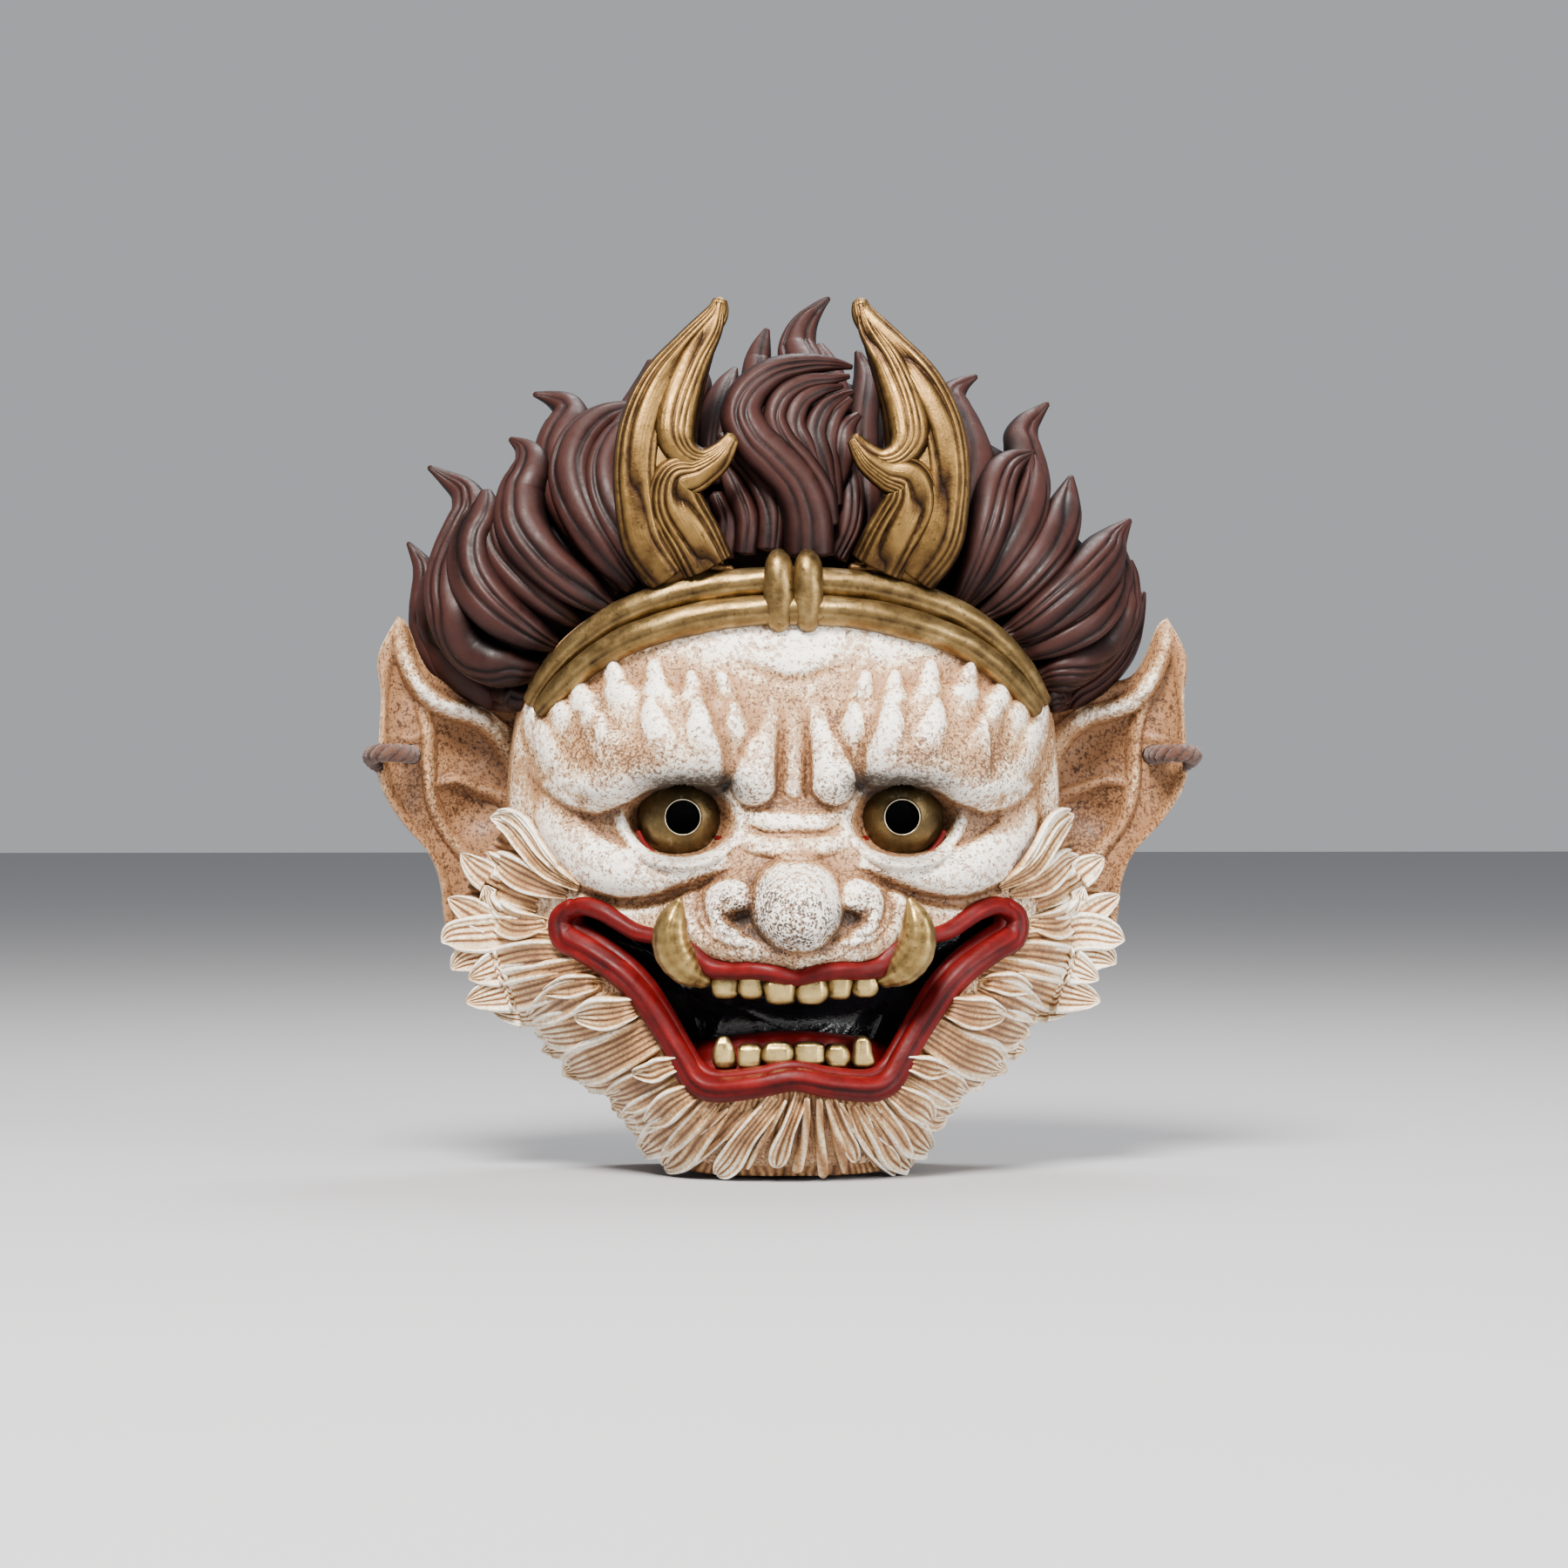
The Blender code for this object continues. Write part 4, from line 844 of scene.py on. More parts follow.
def inner_paint():
    p = Paint("inside_brown", 0.72, 0.0, 0.3)
    colour = p.colours(p.noise(60, 5.0, 0.7), ((0.25, (0.016, 0.009, 0.006)), (0.5, (0.045, 0.026, 0.018)),
                                               (0.75, (0.090, 0.055, 0.038))))
    return p.finish(colour, p.noise(420, 4.0, 0.7), 0.5, 0.0006)


def film_paint(name, roughness, specular):
    p = Paint(name, roughness, 0.0, specular)
    colour = p.colours(p.noise(200, 3.0), ((0.3, (0.002, 0.002, 0.0025)), (0.7, (0.006, 0.006, 0.008))))
    return p.finish(colour, p.noise(350, 4.0, 0.75), 0.5, 0.0008)


def cord_paint():
    p = Paint("wool_brown", 0.95, 0.0, 0.1)
    p.shader.inputs["Sheen Weight"].default_value = 0.25
    colour = p.colours(p.worn(700, 0.7, -0.3, 0.3), WOOL_STOPS)
    return p.finish(colour, p.noise(1500, 4.0, 0.8), 0.8, 0.0006)


IVORY = ivory_paint("ivory", IVORY_STOPS, 0.85, 0.75)
IVORY_BEARD = ivory_paint("ivory_beard", BEARD_STOPS, 0.45, 0.35)
INSIDE = inner_paint()
HAIR = lacquer_paint("hair_brown", 0.48, 0.15, (70, 0.6, -0.22, 0.22), HAIR_SHADED_STOPS, 380, 900, 0.22)
HORN_GOLD = metal_paint("horn_gold", (0.010, 0.0035, 0.0012), (0.062, 0.031, 0.0085),
                        (0.205, 0.118, 0.034), 0.40)
BAND_GOLD = metal_paint("band_gold", (0.022, 0.011, 0.004), (0.17, 0.107, 0.037), (0.42, 0.30, 0.125), 0.36)
EYE_GOLD = metal_paint("eye_gold", (0.025, 0.014, 0.006), (0.115, 0.078, 0.030), (0.85, 0.76, 0.55), 0.34)
TOOTH_GOLD = metal_paint("tooth_gold", (0.036, 0.016, 0.005), (0.27, 0.176, 0.056), (0.60, 0.44, 0.175), 0.32)
LIP_RED = lacquer_paint("lip_red", 0.46, 0.16, (120, 0.65, -0.22, 0.20), LIP_STOPS, 300, 800, 0.3)
FILM = film_paint("black_film", 0.12, 0.5)
# a dark sheet behind each pupil: painted shade for the inside of the mask
PUPIL_SHADE_FILM = film_paint("pupil_shade_black_film", 0.35, 0.08)
WOOL = cord_paint()

# ---------------------------------------------------------------- tie cord

WOOL_RADIUS = 2.75                    # the strands' fuzz stands a little outside the cord's own radius
KNOT = (107.5, 13.2, 10.0)            # middle of the knot behind each ear
CORD_ROUTE = ((-112.4, 14.6, 11.2), (-116.8, 17.4, 13.6), (-120.8, 23.4, 16.2), (-121.8, 30, 17.6),
              (-120.4, 36.6, 18.4), (-116.2, 39.8, 18.6), (-112.2, 37.6, 18.4), (-110.3, 32, 18.2),
              (-110.4, 25, 18.2), (-110, 18.4, 18.1), (-106, 12.4, 17.4), (-97, 8.8, 13.6), (-86, 7, 7.2),
              (-77, 7.4, 0.6), (-67.5, 8.2, -10.5), (-56, 9, -26), (-42, 9.6, -42), (-26, 10, -55),
              (-9, 10, -62.5), (0, 10, -63.5))


def frames_along(centre):
    """Two directions across a curve that turn with it and don't twist."""
    along = unit(np.gradient(centre, axis=0))
    side = np.cross(along[0], (0.0, 0.0, 1.0))
    across = [side / np.linalg.norm(side)]
    for t in along[1:]:
        side = across[-1] - t * (across[-1] @ t)
        across.append(side / np.linalg.norm(side))
    return np.array(across), np.cross(along, across)


def twisted(bag, centre, radius, pitch):
    """A rope of three round strands wound about a centre line."""
    strands = 3
    sides = 9
    first, second = frames_along(centre)
    travelled = distances(centre)[:, None]
    strand_radius = radius * 0.58
    angle = np.linspace(0, 2 * math.pi, sides, endpoint=False)
    for k in range(strands):
        turn = 2 * math.pi * (travelled / pitch + k / strands)
        out = first * np.cos(turn) + second * np.sin(turn)
        middle = centre + out * (radius - strand_radius)
        local = unit(np.gradient(middle, axis=0))
        side = unit(np.cross(local, out))
        away = unit(np.cross(side, local))
        wool = 1 + 0.10 * np.sin(travelled * 4.1 + angle[None, :] * 3 + k) \
            + 0.06 * np.sin(travelled * 9.7 + angle[None, :] * 5 + 2 * k)
        points = sections(middle, side, away, strand_radius * wool * np.cos(angle),
                          strand_radius * wool * np.sin(angle))
        # each strand lighter on its outer side and darker where it turns in against the others: painted shade
        # between the strands
        shade = np.clip(0.45 + 0.45 * np.sin(angle)[None, :] * np.ones((len(centre), 1)), 0, 1)
        add_rope(bag, points, sides, middle[0], middle[-1], shade, 0.3)


def build_cord():
    whole = whole_line(CORD_ROUTE)
    route = spline(whole, 700)
    bag = Bag()
    twisted(bag, route, WOOL_RADIUS, 9.5)
    piece = bag.build("wool_cord", WOOL, ["tie_cord"])
    path = spline(whole, 79)
    for side, sign in SIDES:
        bag = Bag()
        s = np.linspace(0, 2 * math.pi, 90)
        middle = np.array([sign * KNOT[0], *KNOT[1:]])
        turn = np.column_stack([sign * (np.sin(s) + 1.1 * np.sin(2 * s)) * 1.1,
                                (np.cos(s) - 1.1 * np.cos(2 * s)) * 1.1, -np.sin(3 * s) * 1.25])
        twisted(bag, middle + turn, 2.1, 8.0)
        end = middle + spline([(0, 0, -1.5), (-sign * 1.0, -1.5, -5), (-sign * 2.0, -1.2, -9.5),
                               (-sign * 3.5, 0.5, -14)], 40)
        twisted(bag, end, 2.0, 8.0)
        bag.build("cord_knot_%s_wool" % side, WOOL, ["cord_knot_" + side])


build_cord()
build_face(IVORY, INSIDE)

# ---------------------------------------------------------------- lips, gum, teeth, tusks, film

UPPER_LIP_ROLL = ((-64.4, -27.6, 2.4), (-60, -25.8, 2.7), (-54.5, -27.2, 2.8), (-50, -29.9, 2.6),
                  (-45, -32.8, 2.5), (-39.5, -34.2, 2.3), (-33, -35.9, 2.6), (-28.6, -39.0, 3.5),
                  (-24, -42.5, 3.2), (-18, -43.4, 2.8), (-12, -43.2, 2.7), (-6, -44.0, 2.6), (0, -45.4, 2.5))
GUM_DEPTH_Z = -76.0


def on_face(line, lift):
    """Rows of (X, Z, rest) laid on the face as (X, depth, Z, rest)."""
    return [(p[0], face_at(p[0], p[1]) + lift, *p[1:]) for p in line]


def build_lips():
    def crease(s, angle):
        return 1 + 0.03 * np.sin(angle * 3 + 9 * s) + 0.02 * np.sin(angle * 7 + 31 * s)

    def folded(s, angle):
        return crease(s, angle) - 0.12 * np.exp(-((np.cos(angle) + 0.25) / 0.2) ** 2) * (np.sin(angle) > 0)

    bag = Bag()
    tube(bag, on_face(whole_line(LOWER_LIP), 0.6), 1.0, 40, 190, folded)
    inner = [(x * 0.945, z + 2.9 * (1 if z < -70 else 0.75) + 0.4, r * 0.62) for x, z, r in LOWER_LIP[1:]]
    tube(bag, on_face(whole_line(inner), -3.0), 1.0, 24, 170, crease)
    bag.build("lower_lip_roll", LIP_RED, ["lower_lip"])
    bag = Bag()
    tube(bag, on_face(whole_line(UPPER_LIP_ROLL), 0.5), 1.15, 28, 170, crease)
    bag.build("upper_lip_roll", LIP_RED, ["upper_lip"])


def build_gum():
    """A slope of red gum that the lower teeth stand in front of, down to the lip."""
    x = np.linspace(-32, 32, 90)[None, :]
    top = -61.6 - 0.0052 * x ** 2
    share = np.linspace(0, 1, 26)[:, None]
    z = top + (-76.5 - top) * share
    base = cad_face(x, np.full_like(x, GUM_DEPTH_Z))
    profile = np.interp(share, (0, 0.08, 0.22, 0.5, 0.66, 0.85, 1),
                        (-14, -10.6, -9.4, -9.2, -7.6, -5.0, -3.0))
    depth = base + profile + 0.5 * np.cos(x * 2 * math.pi / 8.1) * bump(share, 0, 0.55, 0, 0.25, 1)
    depth = depth + 0.2 * smooth_noise(x + 0 * z, z, 0, 15, 5.0)
    back = np.minimum(depth - 1.5, depth[:1] - 1.0)
    bag = Bag()
    add_slab(bag, place_rows(x, depth, z), place_rows(x, back, z), *depth.shape,
             0.45 + 0.3 * np.repeat(ramp(share, 0.0, 0.2), x.size, axis=1).ravel())
    bag.build("gum_ridge", LIP_RED, ["lower_gum"])


TOOTH_X = (-19.6, -12.4, -4.4, 4.6, 12.6, 20.2)
TOOTH_WIDTH = (7.4, 6.6, 8.3, 8.3, 6.6, 7.0)
TUSK = ((26.4, 78.6, -45.6, 3.0), (30.6, 80.2, -43.0, 4.9), (34.2, 81.8, -38.4, 5.5), (35.2, 82.8, -33, 5.0),
        (34.4, 83, -28, 3.7), (32.9, 82.5, -23.9, 1.2))


def tooth(bag, middle, size, pointed, seed):
    """A cast peg with rounded, uneven corners; pointed narrows its free end."""
    n = 21
    phi, theta = np.meshgrid(np.linspace(0, math.pi, n), np.linspace(0, 2 * math.pi, 2 * n, endpoint=False),
                             indexing="ij")

    def square(v, power):
        return np.sign(v) * np.abs(v) ** power

    level = (np.cos(phi) + 1) / 2
    px = square(np.sin(phi) * np.cos(theta), 0.55) * size[0] / 2
    py = square(np.sin(phi) * np.sin(theta), 0.7) * size[1] / 2
    pz = square(np.cos(phi), 0.6) * size[2] / 2
    px = px * (1 - pointed * np.clip(level - 0.25, 0, 1)) * (1 + 0.07 * np.sin(seed * 3 + pz))
    px = px + 0.25 * math.sin(seed * 5.0) * pz * 0.35
    py = py * (1 - 0.3 * pointed * level)
    py = py + 0.16 * np.sin(px * 2.2 + seed) + 0.12 * np.sin(pz * 2.6 + seed * 2)
    points = place_rows(middle[0] + px, middle[1] + py, middle[2] + pz)
    # ridge value, lighter in the middle and darker towards the outline: painted shade where the peg turns
    # away and meets its neighbours
    edge = np.clip(1 - np.hypot(px / size[0] * 2, pz / size[2] * 2) ** 3 * 0.8, 0, 1)
    bag.add(points, [grid_faces(n, 2 * n, True)], (0.15 + 0.85 * edge).ravel())


def cast_bulge(s, a):
    """Uneven sides of a tusk."""
    return 1 + 0.03 * np.sin(a * 9 + 2 * s) + 0.025 * np.sin(a * 5 - 6 * s) + 0.012 * np.sin(60 * s)


def build_teeth():
    """The corner teeth below are tall and pointed; the middle two above are longer than their neighbours."""
    for i, (x, width) in enumerate(zip(TOOTH_X, TOOTH_WIDTH)):
        front = abs(x) < 10
        outer = abs(x) > 15
        upper_z = -49.0 if front else -48.0 + 0.3 * math.sin(3 * i)
        lower_z = -67.6 - 1.2 * float(ramp(abs(x), 2, 20)) + (1.4 if outer else 0.0)
        upper_size = (1.12 * width, 5.6, 8.0 if front else 7.4)
        lower_size = (1.10 * width - (0.4 if outer else 0.0), 5.4, 9.4 if outer else 7.2)
        for row, depth, z, size, pointed, seed in (
                ("upper", face_at(x, -43.0) - 3.4, upper_z, upper_size, 0.0, i),
                ("lower", face_at(x, GUM_DEPTH_Z) - 5.2, lower_z, lower_size, 0.75 if outer else 0.0, i + 7)):
            name = "%s_tooth_%d" % (row, i + 1)
            bag = Bag()
            tooth(bag, (x, depth, z), size, pointed, seed)
            bag.build(name + "_cast", TOOTH_GOLD, [name])
    for side, sign in SIDES:
        bag = Bag()
        tube(bag, mirrored(TUSK, sign), 0.9, 32, 80, cast_bulge)
        bag.build("tusk_%s_cast" % side, TOOTH_GOLD, ["tusk_" + side])


def crumple(x, z, seed, count, deep):
    """Sharp little folds in random directions, as pulled film has."""
    rng = np.random.default_rng(seed)
    low = np.array([x.min(), z.min()])
    high = np.array([x.max(), z.max()])
    total = np.zeros_like(x)
    for _ in range(count):
        turn = rng.uniform(0, math.pi)
        middle = low + (high - low) * rng.uniform(0, 1, 2)
        along = (x - middle[0]) * math.cos(turn) + (z - middle[1]) * math.sin(turn)
        across = -(x - middle[0]) * math.sin(turn) + (z - middle[1]) * math.cos(turn)
        total += rng.uniform(0.3, 1.0) * np.exp(-np.abs(across) / rng.uniform(0.6, 1.8)
                                                - (along / rng.uniform(6, 20)) ** 2)
    return np.minimum(total, 1.6) * deep


def add_slab(bag, front, back, rows, columns, shade):
    """A closed slab from two grids of points that share their edges' order."""
    total = rows * columns
    quads = grid_faces(rows, columns)
    border = np.concatenate([np.arange(columns), np.arange(1, rows) * columns + columns - 1,
                             (rows - 1) * columns + np.arange(columns - 2, -1, -1),
                             np.arange(rows - 2, 0, -1) * columns])
    after = np.roll(border, -1)
    rim = np.column_stack([border, after, after + total, border + total])
    bag.add(np.vstack([front, back]), [quads[:, ::-1], quads + total, rim],
            np.concatenate([shade, shade * 0.7]))


FILM_COLUMNS = 170
FILM_ROWS = 90
FILM_TOP = 9.0                        # how far the film runs above the upper lip's edge
FILM_FOOT = 3.0                       # and below the lower lip's
FILM_WIDEN = 1.045
FILM_BEHIND = 3.6                     # gap between the shell's inside and the film
FILM_THICK = 0.4
PUPIL_SHADE_FILM_DEPTH = 55.2
PUPIL_SHADE_FILM_THICK = 0.3


def build_film():
    upper, lower = (spline([(p[0], 0, p[1]) for p in whole_line(line)], FILM_COLUMNS)
                    for line in (UPPER_LIP, LOWER_LIP))
    share = np.linspace(0, 1, FILM_ROWS)[:, None]
    x = np.broadcast_to((upper[:, 0] + lower[:, 0]) / 2 * FILM_WIDEN, (FILM_ROWS, FILM_COLUMNS))
    z = (upper[:, 2] + FILM_TOP)[None, :] * (1 - share) + (lower[:, 2] - FILM_FOOT)[None, :] * share
    depth = RELIEF.read(RELIEF.thin, x, z) - WALL - FILM_BEHIND - 8.0 * ramp(-z, 46, 60)
    depth = np.minimum(depth, cad_face(x, z) - 13) + crumple(x, z, 5, 60, 1.5)
    front = place_rows(x, depth, z)
    bag = Bag()
    add_slab(bag, front, front - np.array([0.0, FILM_THICK, 0.0]), FILM_ROWS, FILM_COLUMNS,
             np.full(FILM_ROWS * FILM_COLUMNS, 0.5))
    piece = bag.build("mouth_film", FILM, ["mouth_liner"])


def build_pupil_shade_films():
    """A round patch of black film behind each eye, of the mouth film's kind: a dark sheet that stands in for
    the shade inside the mask and makes the bored pupil black.
    """
    radius = 8.0
    sides = 48
    share = np.sqrt(np.linspace(0.0, 1.0, 24))[1:, None]
    angle = np.linspace(0, 2 * math.pi, sides, endpoint=False)[None, :]
    for side, sign in SIDES:
        x = sign * EYE_X + radius * share * np.cos(angle)
        z = radius * share * np.sin(angle)
        front = place_rows(x, PUPIL_SHADE_FILM_DEPTH - 0.1 + 0.3 * crumple(x, z, 8, 14, 0.8), z)
        total = len(front)
        quads = grid_faces(*x.shape, True)
        edge = total - sides + np.arange(sides)
        after = np.roll(edge, -1)
        points = np.vstack([front, front - np.array([0.0, PUPIL_SHADE_FILM_THICK, 0.0]),
                            [sign * EYE_X, PUPIL_SHADE_FILM_DEPTH, 0.0],
                            [sign * EYE_X, PUPIL_SHADE_FILM_DEPTH - PUPIL_SHADE_FILM_THICK, 0.0]])
        faces = [quads[:, ::-1], quads + total, fan(2 * total, np.arange(sides)),
                 fan(2 * total + 1, total + np.arange(sides), True),
                 np.column_stack([edge, after, after + total, edge + total])]
        bag = Bag()
        bag.add(points, faces, np.full(len(points), 0.5))
        piece = bag.build("eye_film_%s_patch" % side, PUPIL_SHADE_FILM, ["eye_film_" + side])


build_lips()
build_gum()
build_teeth()
build_film()
build_pupil_shade_films()

# ---------------------------------------------------------------- headband

UPPER_ROLL = ((0, 67.4), (18, 66.6), (34, 63.4), (48, 58.6), (60, 51), (68.6, 43), (74.6, 34.4))
LOWER_ROLL = ((0, 59.3), (18, 58.4), (34, 55.2), (47, 50.8), (57.5, 44.8), (65.2, 38.4), (71.6, 31.8))
# rows of (distance behind the wrap's front, Z, half width)
WRAP = ((3.4, 54.4, 2.4), (0.8, 56.4, 3.8), (0, 60.0, 4.3), (0, 68.0, 4.3), (0.8, 72.6, 3.8),
        (3.4, 74.8, 2.4))


def build_band():
    def wrapped(s, angle):
        return 1 + 0.02 * np.sin(angle * 2 + 40 * s) + 0.012 * np.sin(angle * 5 + 90 * s) \
            - 0.10 * np.exp(-((np.cos(angle) + 0.1) / 0.10) ** 2) * (np.sin(angle) > 0)

    for name, line in (("upper", UPPER_ROLL), ("lower", LOWER_ROLL)):
        whole = whole_line(mirrored(reversed(line), -1))
        rows = [(x, d, z, 4.5 - 0.8 * float(ramp(abs(x), 35, 66)) - 1.3 * float(ramp(abs(x), 64, 75)))
                for x, d, z in on_face(whole, 2.3)]
        bag = Bag()
        tube(bag, rows, 1.0, 40, 200, wrapped)
        bag.build("band_roll_" + name, BAND_GOLD, ["headband_%s_roll" % name])
    depth = face_at(0.0, 64.0) + 6.4
    for side, sign in SIDES:
        line = [(sign * 4.2, depth - back, z, half) for back, z, half in WRAP]
        bag = Bag()
        tube(bag, line, 0.9, 32, 60, lambda s, a: 1 + 0.02 * np.sin(a * 3 + 14 * s))
        bag.build("band_wrap_%s_cast" % side, BAND_GOLD, ["band_wrap_" + side])


build_band()

# ---------------------------------------------------------------- eyes

BALL_RADIUS = 13.0
BALL_DEPTH = 60.0
PUPIL = 4.9                           # half width of the bore
EYE_CORNER = ((21.4, 67.5, -6.2, 0.9), (19.8, 68.4, -6.8, 1.5), (18.2, 68.8, -6.9, 0.9))


def ball_profile():
    """(reach, depth) from the back of the ball over its front to the bright rim and down the pupil's bore,
    with the ridge value of each place."""
    outer = [(BALL_RADIUS * math.sin(a), BALL_DEPTH + BALL_RADIUS * math.cos(a))
             for a in np.linspace(math.radians(108), math.asin((PUPIL + 0.5) / BALL_RADIUS), 40)]
    front = BALL_DEPTH + BALL_RADIUS * math.cos(math.asin(PUPIL / BALL_RADIUS))
    rim = [(PUPIL + 0.36, front + 0.02), (PUPIL + 0.28, front + 0.16), (PUPIL + 0.12, front + 0.18),
           (PUPIL + 0.02, front + 0.04), (PUPIL, front - 0.7), (PUPIL, 64.0), (PUPIL, 58.2),
           (PUPIL + 0.4, 56.0)]
    # the bore's wall gets the darkest value: painted shade inside the hole
    shade = [0.42] * (len(outer) + 1) + [0.80, 0.80, 0.4] + [0.0] * (len(rim) - 4)
    return np.array(outer + rim), np.array(shade)


def build_eyes():
    sides = 72
    profile, shade = ball_profile()
    angle = np.linspace(0, 2 * math.pi, sides, endpoint=False)
    ring = np.arange(sides)
    after = (ring + 1) % sides
    last = (len(profile) - 1) * sides
    for side, sign in SIDES:
        points = place_rows(sign * EYE_X + profile[:, :1] * np.cos(angle), profile[:, 1:],
                            profile[:, :1] * np.sin(angle))
        bag = Bag()
        bag.add(points, [grid_faces(len(profile), sides, True),
                         np.column_stack([last + ring, last + after, after, ring])], np.repeat(shade, sides))
        bag.build("eye_%s_ball" % side, EYE_GOLD, ["eye_" + side])
        # red rim below the ball and the inner corner
        bag = Bag()
        rim_line = [(sign * (EYE_X + (BALL_RADIUS + 0.3) * math.cos(math.radians(a))), 66.6,
                     BALL_RADIUS * math.sin(math.radians(a)), 0.75) for a in range(196, 345, 12)]
        tube(bag, rim_line, 1.3, 12, 60)
        tube(bag, mirrored(EYE_CORNER, sign), 1.0, 14, 16, lambda s, a: 1 + 0.1 * np.sin(a * 4 + 9 * s))
        bag.build("eye_%s_red_rim" % side, LIP_RED, [])


build_eyes()

# ---------------------------------------------------------------- horns

HORN_OUTER = ((35, 68, 69.5, 7), (41.4, 70, 79, 7.6), (43.8, 70.5, 90, 7.2), (44.4, 70, 101, 7.0),
              (42.4, 68.5, 113, 7), (37, 66, 125, 6.6), (28.8, 62.5, 136.2, 4.9), (21.8, 60, 144.6, 3.7),
              (20.2, 59, 149.4, 2.2))
HORN_BRIDGE = ((20.4, 60.5, 148.5, 1.4), (22.5, 62, 141, 3), (28.0, 65.5, 131, 4.6), (32.4, 69, 119, 5.8),
               (33.6, 71.4, 109.6, 6), (30.6, 72.8, 104.0, 4.6), (25.6, 73.4, 102.4, 3.4),
               (20.8, 73.4, 105.2, 2.7), (17.6, 73.2, 109.0, 1.7))
HORN_INNER = ((24.6, 69, 72, 8.2), (28.4, 70.5, 79.5, 8.4), (33.6, 71.4, 89, 8.6), (33.0, 72, 96.2, 7.4),
              (27.2, 73, 98.4, 5.2), (21.4, 73.6, 102.4, 3.9), (17.2, 73.6, 108.2, 2.0))
HORN_CORE = ((29, 66, 70.5, 10), (35, 67, 82, 11.4), (38, 67, 95, 11.4), (37.5, 65.5, 109, 10.6),
             (33.5, 63, 122, 8.5), (26, 60, 136, 4.5), (20.4, 58.5, 148.6, 2))
GLUE_SPOTS = 16


def build_horns():
    for side, sign in SIDES:
        bag = Bag()
        for line, thick, ridges, stations, groove, seed in (
                (HORN_CORE, 0.62, 1, 60, 0.0, 1), (HORN_OUTER, 0.74, 5, 150, 0.30, 2),
                (HORN_INNER, 0.72, 6, 120, 0.28, 3), (HORN_BRIDGE, 0.74, 4, 140, 0.32, 4)):
            lock(bag, mirrored(line, sign), thick, ridges, None, stations, groove, 0.8, 0.02, seed, 0.2, 0.6)
        # beads of glue along the foot
        rng = np.random.default_rng(11 if sign < 0 else 12)
        for k in range(GLUE_SPOTS):
            x = 19.5 + 19.0 * k / (GLUE_SPOTS - 1) + rng.uniform(-0.6, 0.6)
            size = rng.uniform(0.9, 1.7)
            depth = 69.5 + rng.uniform(-1, 2.5)
            z = 72.2 - 0.008 * (x - 20) ** 2 + rng.uniform(-0.8, 0.8)
            tube(bag, [(sign * x - size, depth, z, size * 0.8),
                       (sign * x + size, depth, z + rng.uniform(-0.5, 0.5), size * 0.8)], 1.0, 10, 5)
        bag.build("horn_%s_cast" % side, HORN_GOLD, ["horn_" + side])


build_horns()

# ---------------------------------------------------------------- hair

# rows of (X, Z, half width), then how far the lock stands off the hair's body, then its ridges
HAIR_LEFT = (
    (((-90, 37, 2.5), (-99, 41.5, 4), (-105, 49.5, 4.4), (-106.8, 58, 4.4), (-106.5, 66, 4),
      (-106.5, 73, 3.4),
      (-111.3, 81, 0.7)), -6, 2),
    (((-74.6, 35.2, 3.4), (-81, 35.2, 4.8), (-89, 38.0, 5.6), (-97, 44.6, 6.2), (-102, 55, 6.2),
      (-103.5, 66, 5),
      (-102, 76, 1.5)), -4.5, 2),
    (((-26, 70, 3), (-31, 85, 8), (-34, 100, 9), (-32, 116, 8), (-26, 127, 5), (-24, 133, 1)), -3, 3),
    (((-36, 68, 3), (-42, 80, 6), (-47, 93, 7), (-48, 106, 7), (-44, 118, 6), (-40, 127, 4.6),
      (-37.6, 134, 3.2)),
     -1, 2),
    (((-48, 66, 3), (-57, 80, 6), (-64.5, 94, 7.5), (-67, 106, 7.5), (-63.5, 116, 7), (-65.5, 122, 4),
      (-74, 125, 0.8)), -1, 2),
    (((-72, 44, 2.5), (-80, 43, 5.5), (-89, 46.5, 7.5), (-96, 55, 8), (-99, 67, 7.5), (-96.5, 79, 7),
      (-92.5, 88, 6.5), (-94.5, 95.5, 4.5), (-105, 103, 0.8)), 1, 3),
    (((-60, 56, 2), (-68, 61, 4.5), (-77, 68, 5.5), (-84.5, 77, 5), (-86, 86, 4), (-83, 95, 1)), 2, 2),
    (((-68, 50, 2.5), (-76, 54, 5.5), (-85, 60.5, 7.5), (-91, 70, 8), (-91.5, 80, 7), (-88.5, 88, 5.5),
      (-88, 95, 2)), 3.5, 3),
    (((-45, 67, 3), (-53, 76, 5.5), (-60, 87.5, 6.5), (-63, 99, 7), (-60, 110, 6.5), (-52, 117.5, 4.5),
      (-43, 120.5, 1.5)), 3, 3),
    (((-40, 68, 2.5), (-47, 79, 4.5), (-53, 91, 5.2), (-54, 102, 5), (-49, 112, 4), (-42, 117, 1.5)), 5, 2),
    (((-52, 60, 2.5), (-60, 65.5, 5.5), (-70, 73, 7), (-77, 82.5, 8), (-77.5, 93, 7.5), (-74.5, 101, 6.5),
      (-76, 107, 3.8), (-81, 111, 0.8)), 6, 3))
